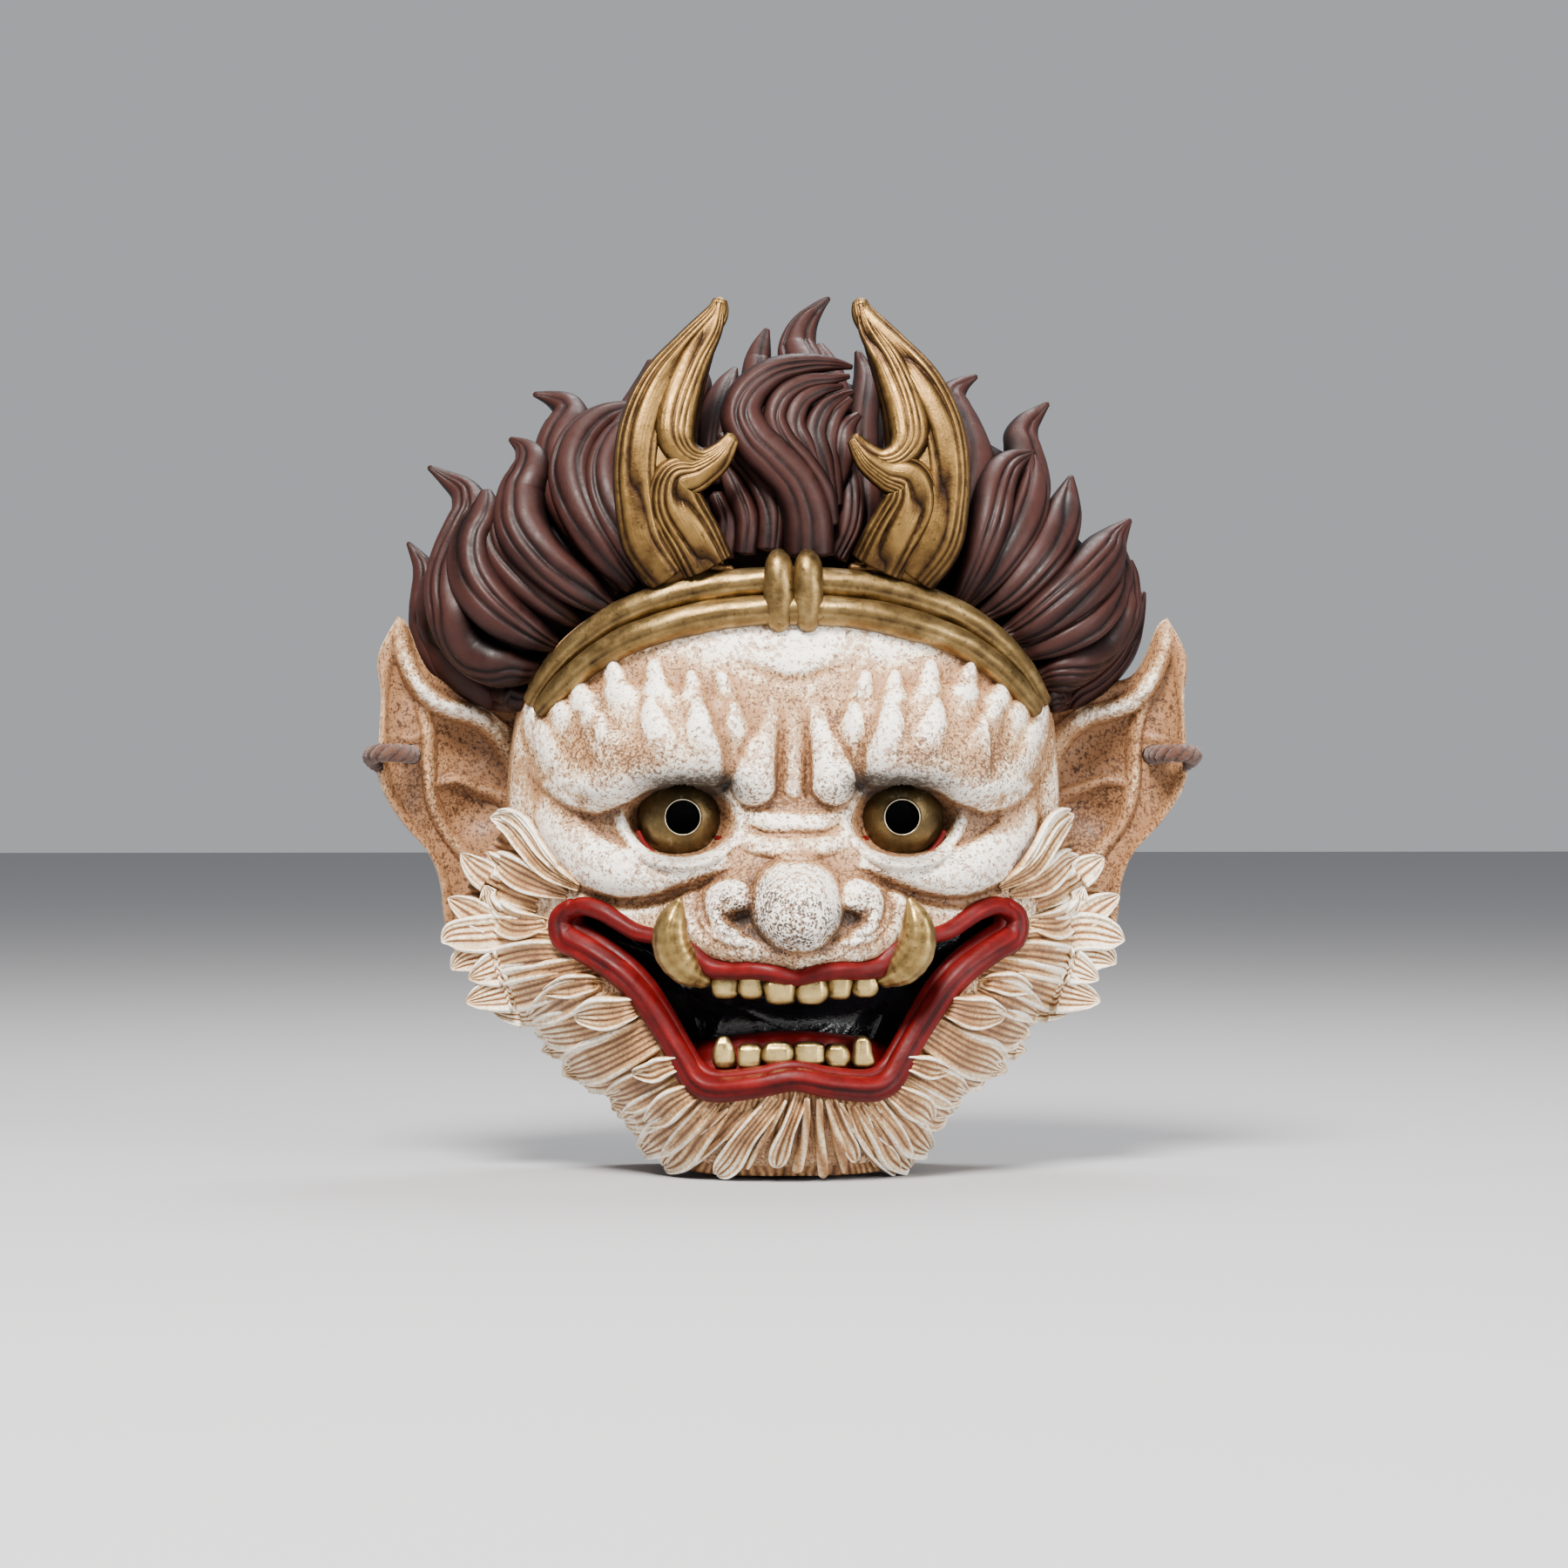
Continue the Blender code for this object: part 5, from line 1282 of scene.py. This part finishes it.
HAIR_RIGHT = (
    (((74.6, 34.6, 3.2), (82, 35.4, 4.8), (92, 40.2, 5.4), (100, 48, 5), (103.8, 57, 4.4),
      (108.2, 66.8, 0.7)), -5, 3),
    (((73.4, 40.5, 2.8), (80.4, 41, 4.8), (90, 45.6, 5.6), (97.5, 53, 5.4), (101, 62, 4.4),
      (101.4, 70, 1)), -2.5, 3),
    (((32, 70, 3), (38, 85, 8), (43, 100, 9), (42, 116, 8), (36, 129, 5), (27, 142.5, 1)), -3, 3),
    (((78, 50, 3), (89, 60, 6.5), (97, 71, 6.5), (98.5, 80, 3), (97, 86, 0.8)), 0, 3),
    (((44, 70, 3), (50, 88, 7), (54, 102, 7.5), (52, 114, 6.5), (49.5, 122, 5.6), (51.5, 127, 3.4),
      (57.6, 131, 0.8)),
     -1, 2),
    (((56, 68, 3), (66, 84, 7), (71, 97, 7.5), (70.5, 108, 6.6), (71.5, 115, 4.6), (79, 123, 0.8)), -1, 2),
    (((73, 41, 2.5), (83, 44, 5.5), (93, 50, 6.5), (100, 60, 5.5), (103, 70, 3), (103, 76, 1)), 1, 3),
    (((56, 58.5, 2.5), (66, 66, 5.5), (75, 76, 7), (80.5, 86, 6.5), (83.5, 94, 4.2),
      (85.4, 101, 0.8)), 2.5, 3),
    (((52, 62, 2), (60, 72, 5), (67, 83, 6.5), (71.5, 94, 6), (73, 104, 3.6), (71, 111, 1)), 3, 3),
    (((66, 48, 2.5), (78, 51.5, 5), (89, 57.5, 6), (96.5, 66, 5), (99, 75, 2.5), (98, 80, 1)), 3, 3),
    (((62, 52, 2.5), (73, 58, 6), (84, 66.5, 8), (92.5, 75.5, 7.5), (97.5, 82, 4.5),
      (102.8, 88, 0.8)), 4.5, 4),
    (((47, 90, 3), (48.5, 100, 4), (50, 108, 3.6), (54, 115, 0.8)), 4, 2),
    (((49, 63, 2.5), (54, 74, 5), (58, 86, 6.5), (60.5, 96, 6), (65, 103, 4.4), (73.4, 107.6, 0.8)), 6, 3))
HAIR_CROWN = (
    (((-22, 96, 4), (-21.5, 108, 5.5), (-19.5, 119, 5.5), (-17, 127, 3.6), (-14.5, 132.5, 0.9)), -2, 2),
    (((-9, 122, 4), (-8.4, 131, 4.4), (-7, 138, 3.4), (-4.8, 144.8, 0.9)), -2, 2),
    (((4, 116, 8), (5.5, 129, 7.6), (4, 138, 6), (5.8, 145, 4.4), (9.6, 150.4, 2.4),
      (13.6, 154.2, 0.8)), -2, 3),
    (((13, 118, 6), (13, 130, 4.6), (10, 139, 2)), -1, 2),
    (((21, 76, 3.4), (22.5, 88, 4.5), (22, 100, 5), (22, 114, 5), (24, 128, 4), (22, 138, 1)), -2, 2),
    (((-19, 75, 3.4), (-18.5, 85, 3.6), (-21.5, 93, 2.4)), 2, 2),
    (((-13, 76, 3.5), (-12.5, 86, 3.8), (-16, 95, 3.4), (-19.5, 102, 1.4)), 3, 2),
    (((13, 75, 3.4), (17, 84, 4), (18, 94, 3.6), (16.5, 103, 2.4), (14.5, 110, 0.8)), 3, 3),
    (((-6, 77, 4), (-5.5, 88, 3.8), (-9, 97, 3.8), (-15, 104.5, 3.2), (-20, 111, 1.2)), 4, 3))
# the curl's locks carry their own depth: rows of (X, depth, Z, half width), then ridges
CURL = (
    (((5, 66, 75.5, 7.4), (4.6, 67, 86, 7.2), (1.2, 67.5, 95.5, 6.8), (-5, 67.5, 102.5, 6.6),
      (-11.4, 66.5, 108.8, 6.6),
      (-14.4, 64.5, 116, 6.2), (-11.6, 62.5, 123, 5.4), (-4.6, 60.5, 128.6, 4.4), (4, 58, 131, 3.4),
      (12, 55, 131.6, 2.2), (18.4, 52, 131, 0.8)), 3),
    (((11.5, 66.5, 84, 2.4), (9, 67.5, 93, 3.6), (4, 67.5, 101, 3.8), (-2, 66.5, 108, 3.8),
      (-4.8, 65, 115, 3.6),
      (-2.2, 63, 121.5, 3.2), (4, 60.5, 125.6, 2.6), (12, 57.5, 127, 1.8), (17.4, 55, 128, 0.8)), 2),
    (((10, 65, 94, 2.4), (4, 65, 105, 4.2), (0.8, 63.5, 113, 3.8), (3.2, 61.5, 120, 3), (9.2, 59, 123.6, 2),
      (15.4, 56, 125, 0.8)), 2),
    (((11.4, 64.5, 91, 2.4), (8.6, 64.5, 102, 4), (6.8, 63, 111, 3.6), (9.8, 61, 118, 2.8),
      (15, 58, 121.8, 1.6),
      (18.4, 55.5, 123.4, 0.8)), 2),
    (((13, 63, 90, 2), (11.6, 63.5, 98, 3.4), (10.6, 62, 108, 3.2), (13, 60, 116, 2.6),
      (17.6, 57.5, 121, 1.2)), 2),
    (((13.4, 61.5, 95, 2), (15, 61.5, 104, 3.6), (16, 60, 112, 3), (20, 57, 116.6, 1.2)), 2))
HAIR_EDGE = ((-79, 34), (-107.5, 62), (-104, 76), (-97, 90), (-84, 101), (-69, 115), (-46, 122), (-28, 130),
             (-5, 135), (8, 140), (20, 134), (40, 125), (52, 121), (70, 112), (84, 94), (97, 80), (104, 62),
             (79, 34))
HAIR_HUB = np.array([0.0, 18.0])


def bearing_lines():
    """The hair's root and edge as (bearing, reach) from a point on the forehead."""
    root = np.array(SHELL_OUTLINE[:7], float)
    roots = np.vstack([root[::-1] * np.array([-1, 1]), root[1:]]) - HAIR_HUB
    edge = np.array(HAIR_EDGE, float) - HAIR_HUB
    return [(np.arctan2(line[:, 0], line[:, 1]), np.hypot(line[:, 0], line[:, 1])) for line in (roots, edge)]


ROOT_LINE, EDGE_LINE = bearing_lines()


def hair_depth(x, z):
    """Depth of the hair's broad surface: high beside the headband, bulging, then falling to the tips."""
    angle = np.arctan2(x, z - HAIR_HUB[1])
    start = np.interp(angle, *ROOT_LINE)
    stop = np.interp(angle, *EDGE_LINE)
    v = np.clip((np.hypot(x, z - HAIR_HUB[1]) - start) / (stop - start), -0.15, 1.15)
    first = np.interp(angle, (-1.45, -0.7, 0.0, 0.7, 1.45), (38.0, 54.0, 60.0, 54.0, 38.0))
    return first + (30.0 - first) * v + 8.5 * np.sin(math.pi * np.clip(v, 0, 1))


def hair_normal(places):
    return surface_normal(hair_depth, places, 3.0, math.inf)


def hair_lock(bag, line, lift, ridges, seed):
    rows = spline(line, 14, 2)
    depth = hair_depth(rows[:, 0], rows[:, 1]) + lift
    lock(bag, np.column_stack([rows[:, 0], depth, rows[:, 1], rows[:, 2]]), 0.92, ridges, hair_normal,
         72, 0.30, 0.7, 0.0, seed, 0.14, 0.55)


def hair_base(bag, low, high):
    """The smooth body behind the locks, between two bearings."""
    angle = np.linspace(low, high, 44)
    start = np.interp(angle, *ROOT_LINE) - 1.5
    stop = np.interp(angle, *EDGE_LINE) - 6.0
    share = np.linspace(0, 1, 26)[:, None]
    reach = start + (stop - start) * share
    x = reach * np.sin(angle)
    z = HAIR_HUB[1] + reach * np.cos(angle)
    front = hair_depth(x, z) - 4.0
    back = front - 3.0 - 14.0 * (1 - share) ** 1.5 + 0.5 * smooth_noise(x, z, 0, 3, 14.0)
    add_slab(bag, place_rows(x, front, z), place_rows(x, back, z), *x.shape, np.full(x.size, 0.25))


def build_hair():
    for name, locks, span in (("left", HAIR_LEFT, (-1.42, -0.30)), ("crown", HAIR_CROWN, (-0.30, 0.30)),
                              ("right", HAIR_RIGHT, (0.30, 1.42))):
        bag = Bag()
        hair_base(bag, *span)
        for k, (line, lift, ridges) in enumerate(locks):
            hair_lock(bag, line, lift, ridges, k)
        bag.build("hair_%s_locks" % name, HAIR, ["hair_" + name])
    bag = Bag()
    for k, (line, ridges) in enumerate(CURL):
        lock(bag, line, 0.85, ridges, None, 90, 0.28, 0.8, 0.0, 30 + k, 0.12, 0.55)
    bag.build("hair_curl_locks", HAIR, ["hair_curl"])


build_hair()

# ---------------------------------------------------------------- ears

EAR_OUTLINE = ((97, -40), (100.5, -32), (102, -20), (105.5, -11), (113, -2), (118.5, 7), (120.3, 15),
               (119.5, 24), (119, 36), (119.8, 47), (114, 58.5))
EAR_RIDGES = (
    ((99, -36, 2.0, 1.2), (102, -18, 2.4, 1.8), (112, -3, 2.8, 2.2), (118, 8, 2.6, 2.2), (119, 24, 2.2, 1.8),
     (118.6, 40, 2.4, 2.0), (116, 55, 3.2, 2.4)),
    ((113.4, 56, 2.8, 3.2), (112.6, 49, 3.0, 4.2), (109.6, 40.5, 3.2, 5.0), (104.4, 34.4, 3.4, 5.6),
     (98, 31.4, 3.4, 6.0), (92, 29.8, 3.6, 6.0), (87, 26.4, 4.0, 5.6), (81, 20, 5.0, 4.4), (76, 12, 6, 2)),
    ((107.4, 33, 2.2, 1.6), (105.2, 24, 2.4, 3.2), (105.0, 13, 2.4, 3.6), (104.2, 5, 2.4, 3.4),
     (101.6, -2, 2.4, 3.2), (98, -7.4, 2.4, 2.8), (93.6, -13, 2.4, 2.0)),
    ((103.4, 9.4, 1.8, 1.2), (97, 10.6, 2.0, 2.2), (91, 8.2, 2.4, 2.4), (84, 5.6, 2.8, 2.2),
     (77, 1.6, 3.4, 1.2)))
SLOT_PLACE = (110.3, 18.2)
SLOT_REACH = 2.9
SLOT_DROP = 0.72                      # places nearer the hole's middle than this share of it are left out
EDGE_BREAK = (118.3, 17.2, 3.6)       # the cord's notch: where X is larger, this near to this Z
EAR_HALF = (2.4, 2.8)                 # half thickness to the front and to the back
EAR_SHADE = 0.14


def ear_surface(rows, columns):
    """Ear grid without its side: X, Z, the middle depth, the carved detail and the place across."""
    outer = spline(EAR_OUTLINE, rows, 2)
    v = np.linspace(0, 1, rows)[:, None]
    u = np.linspace(0, 1, columns)[None, :]
    root_z = -38.0 + 70.0 * v
    root_x = 79.0 - 3.0 * ramp(root_z, 10, 34) + 1.8 * ramp(-root_z, 12, 28)
    sag = 7.0 * np.sin(math.pi * u) + 4.6 * bump(u, 0, 0.76, 0, 0.14, 1) - 2.6 * bump(u, 0, 0.93, 0, 0.06, 1)
    x = root_x + (outer[:, :1] - root_x) * u
    z = root_z + (outer[:, 1:2] - root_z) * u - sag * ramp(v, 0.72, 1.0)
    flare = 6.0 + 13.0 * ramp(v, 0.2, 0.6)
    middle = 12.0 + flare * u - 4.0 * np.sin(math.pi * u) * np.sin(math.pi * v)
    detail = np.zeros_like(x)
    for line in EAR_RIDGES:
        detail = np.maximum(detail, stroke(x, z, line, 0.8))
    detail = detail - 3.4 * bump(x, z, 93, 21, 11, 7) - 3.6 * bump(x, z, 93, 1, 9, 7)
    detail = detail - 1.8 * bump(x, z, 113, 36, 4, 14) - 1.0 * bump(x, z, 112, 6, 4, 8)
    detail = detail + 0.5 * stroke(x, z, ((106.6, 24.4, 1.2, 1), (111, 22.8, 1.4, 1),
                                          (117, 23.6, 1.2, 0.6)), 1.0)
    return x, z, middle, detail + 0.12 * smooth_noise(x, z, 0, 8, 5.0), u, v


def build_ears():
    rows, columns = ((190, 140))
    x, z, middle, detail, u, v = ear_surface(rows, columns)
    front = middle + EAR_HALF[0] + detail
    back = middle - EAR_HALF[1]
    edge = np.minimum((1 - u) * columns, np.minimum(v, 1 - v) * rows)
    pinch = 1 - np.clip(edge / 4.0, 0, 1) ** 0.5
    centre = (front + back) / 2
    front = front + (centre - front) * pinch
    back = back + (centre - back) * pinch
    shade = np.clip(EAR_SHADE + np.where(detail > 0, 0.125, 0.06) * detail, 0.03, 1.0) + 0.30 * pinch
    # the hole for the cord: points inside it are moved to its edge, deeper ones are dropped
    dx = x - SLOT_PLACE[0]
    dz = z - SLOT_PLACE[1]
    away = np.hypot(dx, dz)
    push = np.where(away < SLOT_REACH, SLOT_REACH / np.maximum(away, 0.2), 1.0)
    notch_x, notch_z, notch_reach = EDGE_BREAK
    dropped = (away < SLOT_REACH * SLOT_DROP) | ((x > notch_x) & (np.abs(z - notch_z) < notch_reach))
    x = np.where(dropped, x, SLOT_PLACE[0] + dx * push)
    z = np.where(dropped, z, SLOT_PLACE[1] + dz * push)
    total = rows * columns
    quads = grid_faces(rows, columns)
    kept = quads[~dropped.ravel()[quads].any(axis=1)]
    pairs = np.vstack([kept[:, [0, 1]], kept[:, [1, 2]], kept[:, [2, 3]], kept[:, [3, 0]]])
    _, first, count = np.unique(np.sort(pairs, axis=1), axis=0, return_index=True, return_counts=True)
    border = pairs[first[count == 1]]
    wall = np.column_stack([border[:, 1], border[:, 0], border[:, 0] + total, border[:, 1] + total])
    for side, sign in SIDES:
        bag = Bag()
        bag.add(np.vstack([place_rows(sign * x, front, z), place_rows(sign * x, back, z)]),
                [kept, kept[:, ::-1] + total, wall], np.concatenate([shade.ravel(), np.full(total, 0.24)]))
        bag.build("ear_%s_flap" % side, IVORY, ["ear_" + side])


build_ears()

# ---------------------------------------------------------------- beard

# rows of (distance from the middle, Z, half width), then the lift off the face
TUFTS = (
    (((56, -50, 2.4), (68, -54.4, 4.6), (78, -57.4, 3.6), (86, -57.8, 1.2)), -0.6),
    (((52, -62, 2.4), (60, -66, 4.4), (68, -68.6, 3), (72, -69.4, 1.2)), -0.8),
    (((42, -68, 2.4), (50, -73.6, 4.6), (57, -77.2, 3.2), (60, -78.8, 1.2)), -0.4),
    (((36, -79, 2.2), (42, -82.6, 3.8), (47, -85, 3), (50, -87, 1.2)), -0.4),
    (((34, -88, 2.2), (39, -91, 3.4), (43, -93.6, 1.2)), -0.4),
    (((68, -38, 2.4), (78, -38.6, 4.6), (88, -40, 4.8), (95, -42, 3.4), (98.6, -44.6, 1.2)), 0.6),
    (((72, -34, 2.4), (80, -34, 4.2), (90, -34.6, 4.4), (97, -35.4, 3.4), (101, -36.8, 1.8)), 2.5),
    (((64, -40.6, 2.4), (74, -42, 4.6), (85, -44.6, 4.4), (93.6, -48.2, 1.4)), 2.4),
    (((57, -44.6, 2.6), (70, -48.4, 5), (82, -51.6, 5.4), (93.6, -54.6, 2.0)), 1.4),
    (((48, -56, 2.6), (56, -59.4, 5), (66, -62.4, 5.4), (73.4, -64.6, 3.2)), 1.0),
    (((39, -61.6, 2.6), (49, -67, 5), (58, -71.6, 5.4), (65.6, -76, 2.4)), 1.8),
    (((33.6, -73, 2.4), (40, -76.6, 4.4), (46, -80, 4.6), (52.2, -83, 2.4)), 1.6),
    (((31, -78.6, 2.4), (37, -83, 4.2), (42.6, -86.4, 4.4), (47.4, -89, 2.4)), 1.4),
    (((20.6, -81.6, 2.2), (26, -90, 4), (31, -97.4, 4.2), (36.4, -103, 2.2)), 1.2),
    (((25, -81, 2.4), (31, -88, 4.4), (36.6, -93.6, 4.6), (41.8, -98.6, 2.4)), 1.6),
    (((54, -49, 2.4), (62, -51.6, 4.2), (70, -55.4, 3.6), (75, -59, 1.4)), 3.0),
    (((56, -47.4, 1.6), (63, -48.6, 2.8), (71.4, -50.6, 0.9)), 4.6),
    (((44, -54.2, 2.0), (50, -55.4, 3.6), (56, -56.4, 3.8), (62.6, -57.4, 1.4)), 4.8),
    (((32.4, -70.2, 1.4), (37, -71.8, 2.4), (40.6, -72.6, 2.4), (45, -73.4, 1.0)), 4.6),
    (((27.6, -78, 1.8), (33, -81.6, 3.2), (37.6, -85, 3.2), (41.4, -89, 1.2)), 4.2))
LEAVES = (
    (((80, -33, 2.2), (88, -30.6, 4.0), (94, -27.4, 3.8), (99.4, -23.6, 1.2)), 2.0),
    (((74, -24, 2.2), (83, -20.5, 4.2), (90, -15.6, 4.0), (95.4, -11.6, 1.1)), 2.0),
    (((70.6, -31, 2.4), (79, -31, 4.6), (85.4, -27.4, 4.6), (88.6, -21.0, 1.4)), 3.6),
    (((66, -21.6, 2.2), (74, -18.4, 4.4), (81.4, -14.6, 4.2), (87.6, -11, 1.2)), 3.6),
    (((62.4, -18.8, 1.6), (69.6, -14.2, 3.6), (75.6, -6.6, 4.6), (80.6, -1.6, 3.8), (86.4, 0.2, 1.2)), 4.0),
    (((64.4, -17.0, 1.0), (71.6, -9.2, 2.0), (77.4, -1.6, 2.4), (83.6, 1.0, 1.0)), 5.2))
# the chin's own tufts and single strands, not mirrored: rows of (X, Z, half width), then the lift
CHIN_TUFTS = (
    (((-14.4, -82.6, 1.6), (-22, -90.6, 3.0), (-29, -97.6, 3.4), (-33.6, -103.4, 1.8)), 0.4),
    (((17.6, -82.4, 1.4), (22, -91.4, 2.7), (27.6, -98.6, 3.2), (31.4, -103.6, 1.8)), 0.6),
    (((-6.2, -81.6, 1.5), (-12.4, -91, 2.9), (-17.8, -98.6, 3.5), (-20.6, -103.6, 2.4)), 1.4),
    (((1.6, -80, 1.1), (-0.8, -88, 1.9), (-3.2, -96, 2.7), (-4.4, -101.4, 1.9)), 2.0),
    (((10.4, -81, 1.2), (13.6, -88.6, 2.0), (17, -95.4, 2.2), (18.6, -99.6, 1.2)), 0.9))
CHIN_STRANDS = (
    ((3.6, -80.6, 0.8), (3.5, -91, 1.25), (1.8, -101.4, 1.45)),
    ((7.2, -80.8, 0.8), (7.9, -91, 1.25), (9.4, -102.8, 1.5)),
    ((9.6, -81, 0.7), (12, -89.4, 1.2), (14.4, -96.4, 1.5), (15.4, -102.2, 0.9)),
    ((-9.6, -82.8, 0.6), (-14.4, -87.4, 0.9), (-18.6, -92, 0.8)),
    ((-2.6, -81, 0.6), (-7, -90, 0.8), (-10.6, -97, 0.9), (-12.6, -101, 0.7)),
    ((-19, -83.5, 0.6), (-26, -89.5, 0.9), (-31, -94, 0.8)),
    ((13.2, -82, 0.6), (18, -90, 0.9), (22.6, -97, 0.9), (25, -101, 0.7)),
    ((20.6, -83, 0.6), (26.6, -91.6, 0.9), (31.8, -98, 0.8)),
    ((-24.6, -84, 0.7), (-31.6, -90.4, 1.0), (-36.4, -95, 0.8)),
    ((24.4, -83, 0.6), (29, -89.4, 0.9), (34.4, -95.4, 0.8)))
BEARD_OUTER = ((83, -4), (90, -13), (95, -25), (97, -36), (93, -44.6), (86, -51.4), (77, -56), (69, -63.6),
               (60, -73), (48.6, -80), (44, -88), (38.6, -97.6), (34, -102), (22, -103.6), (0, -103.8))
BEARD_INNER = ((73, -11), (70.5, -19), (68.5, -26)) + tuple((-p[0], p[1]) for p in LOWER_LIP[2:])


def beard_depth(x, z):
    return np.maximum(29.0, cad_face(x, z))


STRAND_WIDTH = 2.2
TOP_LIFT = 2.9                        # tufts lifted further than this lie over others and start narrow
STRAND_LIFT = 1.8
TUFT_THICK = 0.30


def tuft(bag, line, lift, seed, sign, grow):
    """A flat feather of the beard: raised white rims that meet at a blunt tip, and thin strands between."""
    rng = np.random.default_rng(seed + (50 if sign > 0 else 0))
    line = np.array(line, float)
    line[1:, :2] += rng.uniform(-0.6, 0.6, (len(line) - 1, 2))
    line[:-1, 2] *= grow
    widest = line[:, 2].max()
    line[0, 2] = widest * (0.75 if lift < TOP_LIFT else 0.25)
    line[0, :2] -= 2.2 * unit(line[1, :2] - line[0, :2])
    flat = spline(line, 110, 2)
    x = flat[:, 0] * sign
    sunk = (lift + 1.6) * (1 - ramp(np.linspace(0, 1, len(x)), 0.0, 0.34))
    centre = np.column_stack([x, beard_depth(x, flat[:, 1]) + lift - sunk, flat[:, 1]])
    half = flat[:, 2]
    travelled = distances(centre)
    closing = np.clip((travelled[-1] - travelled) / (1.5 * half[-1] + 0.8), 0, 1)
    half = half * np.sqrt(1 - (1 - closing) ** 2 * 0.96)
    along = unit(np.gradient(centre, axis=0))
    across = unit(np.cross(along, face_normal(centre)))
    outward = unit(np.cross(across, along))
    strands = max(2, int(round(2 * widest / STRAND_WIDTH)))
    u = np.linspace(-1, 1, 7 * strands + 6)[None, :]
    s = (travelled / travelled[-1])[:, None]
    body = (1 - np.abs(u) ** 5) ** 0.5
    phase = strands * (u / 0.92 + 1) / 2 + 0.16 * np.sin(2.3 * u + seed + 2.6 * s) * (1 - u * u)
    wave = np.abs(np.cos(math.pi * phase)) ** 0.8
    rim = np.exp(-((np.abs(u) - 0.84) / (0.40 / strands ** 0.6)) ** 2)
    close = 1 - (1 - closing[:, None]) ** 2
    relief = 1.25 * rim + (1 - rim) * (0.72 * wave * (0.7 + 0.3 * np.sin(7 * u + seed)) - 0.35)
    hatch = 0.05 * np.sin(2 * math.pi * travelled[:, None] / 1.0 + 6 * u) * (1 - wave) * (1 - rim)
    edge = np.clip((1 - np.abs(u)) / 0.07, 0, 1) ** 0.5
    tall = half[:, None] * TUFT_THICK * body \
        + (relief + hatch) * edge * (0.35 + 0.65 * close) * min(1.0, widest / 2.2)
    u_back = np.linspace(1, -1, 5)[1:-1]
    tall = np.hstack([tall, np.full((len(s), 3), -0.9) * np.minimum(1, half[:, None])])
    wide = half[:, None] * np.concatenate([u[0], u_back])[None, :]
    # white rims and tips and browner grooves are the paint's wash and dry-brushed white; the darkening
    # towards the tuft's sides and root is painted shade where the tufts lie against each other
    inner = 0.08 + 0.46 * wave + 0.34 * wave * ramp(s, 0.3, 0.95) + rng.uniform(-0.05, 0.07)
    shade = inner * (1 - rim) + rim * (0.66 + 0.36 * ramp(s, 0.05, 0.4))
    shade = shade * (0.6 + 0.4 * edge)
    shade = np.maximum(shade, 0.9 * ramp(s, 0.93, 1.0) * edge)
    shade = np.hstack([shade, np.full((len(s), 3), 0.2)])
    add_feather(bag, sections(centre, across, outward, wide, tall), wide.shape[1],
                centre[-1] + along[-1] * 0.2, centre[0], shade)


def strand(bag, line, seed):
    """One round white strand with a blunt tip."""
    rows = spline(line, 30, 2)
    depth = beard_depth(rows[:, 0], rows[:, 1]) + STRAND_LIFT
    grown = np.column_stack([rows[:, 0], depth, rows[:, 1], rows[:, 2]])
    tube(bag, grown, 0.95, 16, 50, lambda s, a: 1.03 + 0.06 * np.sin(a * 2 + 9 * s + seed))


def beard_base(bag, sign):
    """The body under the tufts: strands that run from the lip out to just short of the tips."""
    outer = spline(BEARD_OUTER, 620, 2)
    inner = spline(BEARD_INNER, 620, 2)
    share = np.linspace(0, 1, 40)[:, None]
    x = inner[:, 0] + (outer[:, 0] - inner[:, 0]) * share
    z = inner[:, 1] + (outer[:, 1] - inner[:, 1]) * share
    travelled = distances(outer)[None, :]
    wave = np.abs(np.sin(math.pi * (travelled / 2.3 + 0.5 * smooth_noise(x, z, 0, 31, 16.0)))) ** 0.8
    front = beard_depth(x, z) - 0.8 + 0.6 * wave + 0.3 * smooth_noise(x, z, 0, 21, 5.0)
    back = np.maximum(28.0, np.minimum(cad_face(x, z) - 2.5, front - 2))
    back = np.minimum(back, front - 1.6)
    # the body under the tufts is kept browner than them: the paint's wash and painted shade under the tufts
    shade = 0.08 + 0.42 * wave + 0.06 * smooth_noise(x, z, 0, 22, 9.0)
    add_slab(bag, place_rows(sign * x, front, z), place_rows(sign * x, back, z), *x.shape, shade.ravel())


def build_beard():
    for side, sign in SIDES:
        bag = Bag()
        beard_base(bag, sign)
        for k, (line, lift) in enumerate(TUFTS):
            tuft(bag, line, lift, k, sign, 1.34)
        for k, (line, lift) in enumerate(LEAVES):
            tuft(bag, line, lift, k + len(TUFTS), sign, 1.1)
        bag.build("beard_%s_tufts" % side, IVORY_BEARD, ["beard_" + side])
    bag = Bag()
    for k, (line, lift) in enumerate(CHIN_TUFTS):
        tuft(bag, line, lift, 60 + k, 1.0, 1.15)
    for k, line in enumerate(CHIN_STRANDS):
        strand(bag, line, k)
    bag.build("beard_chin_strands", IVORY_BEARD, ["beard_chin"])


build_beard()
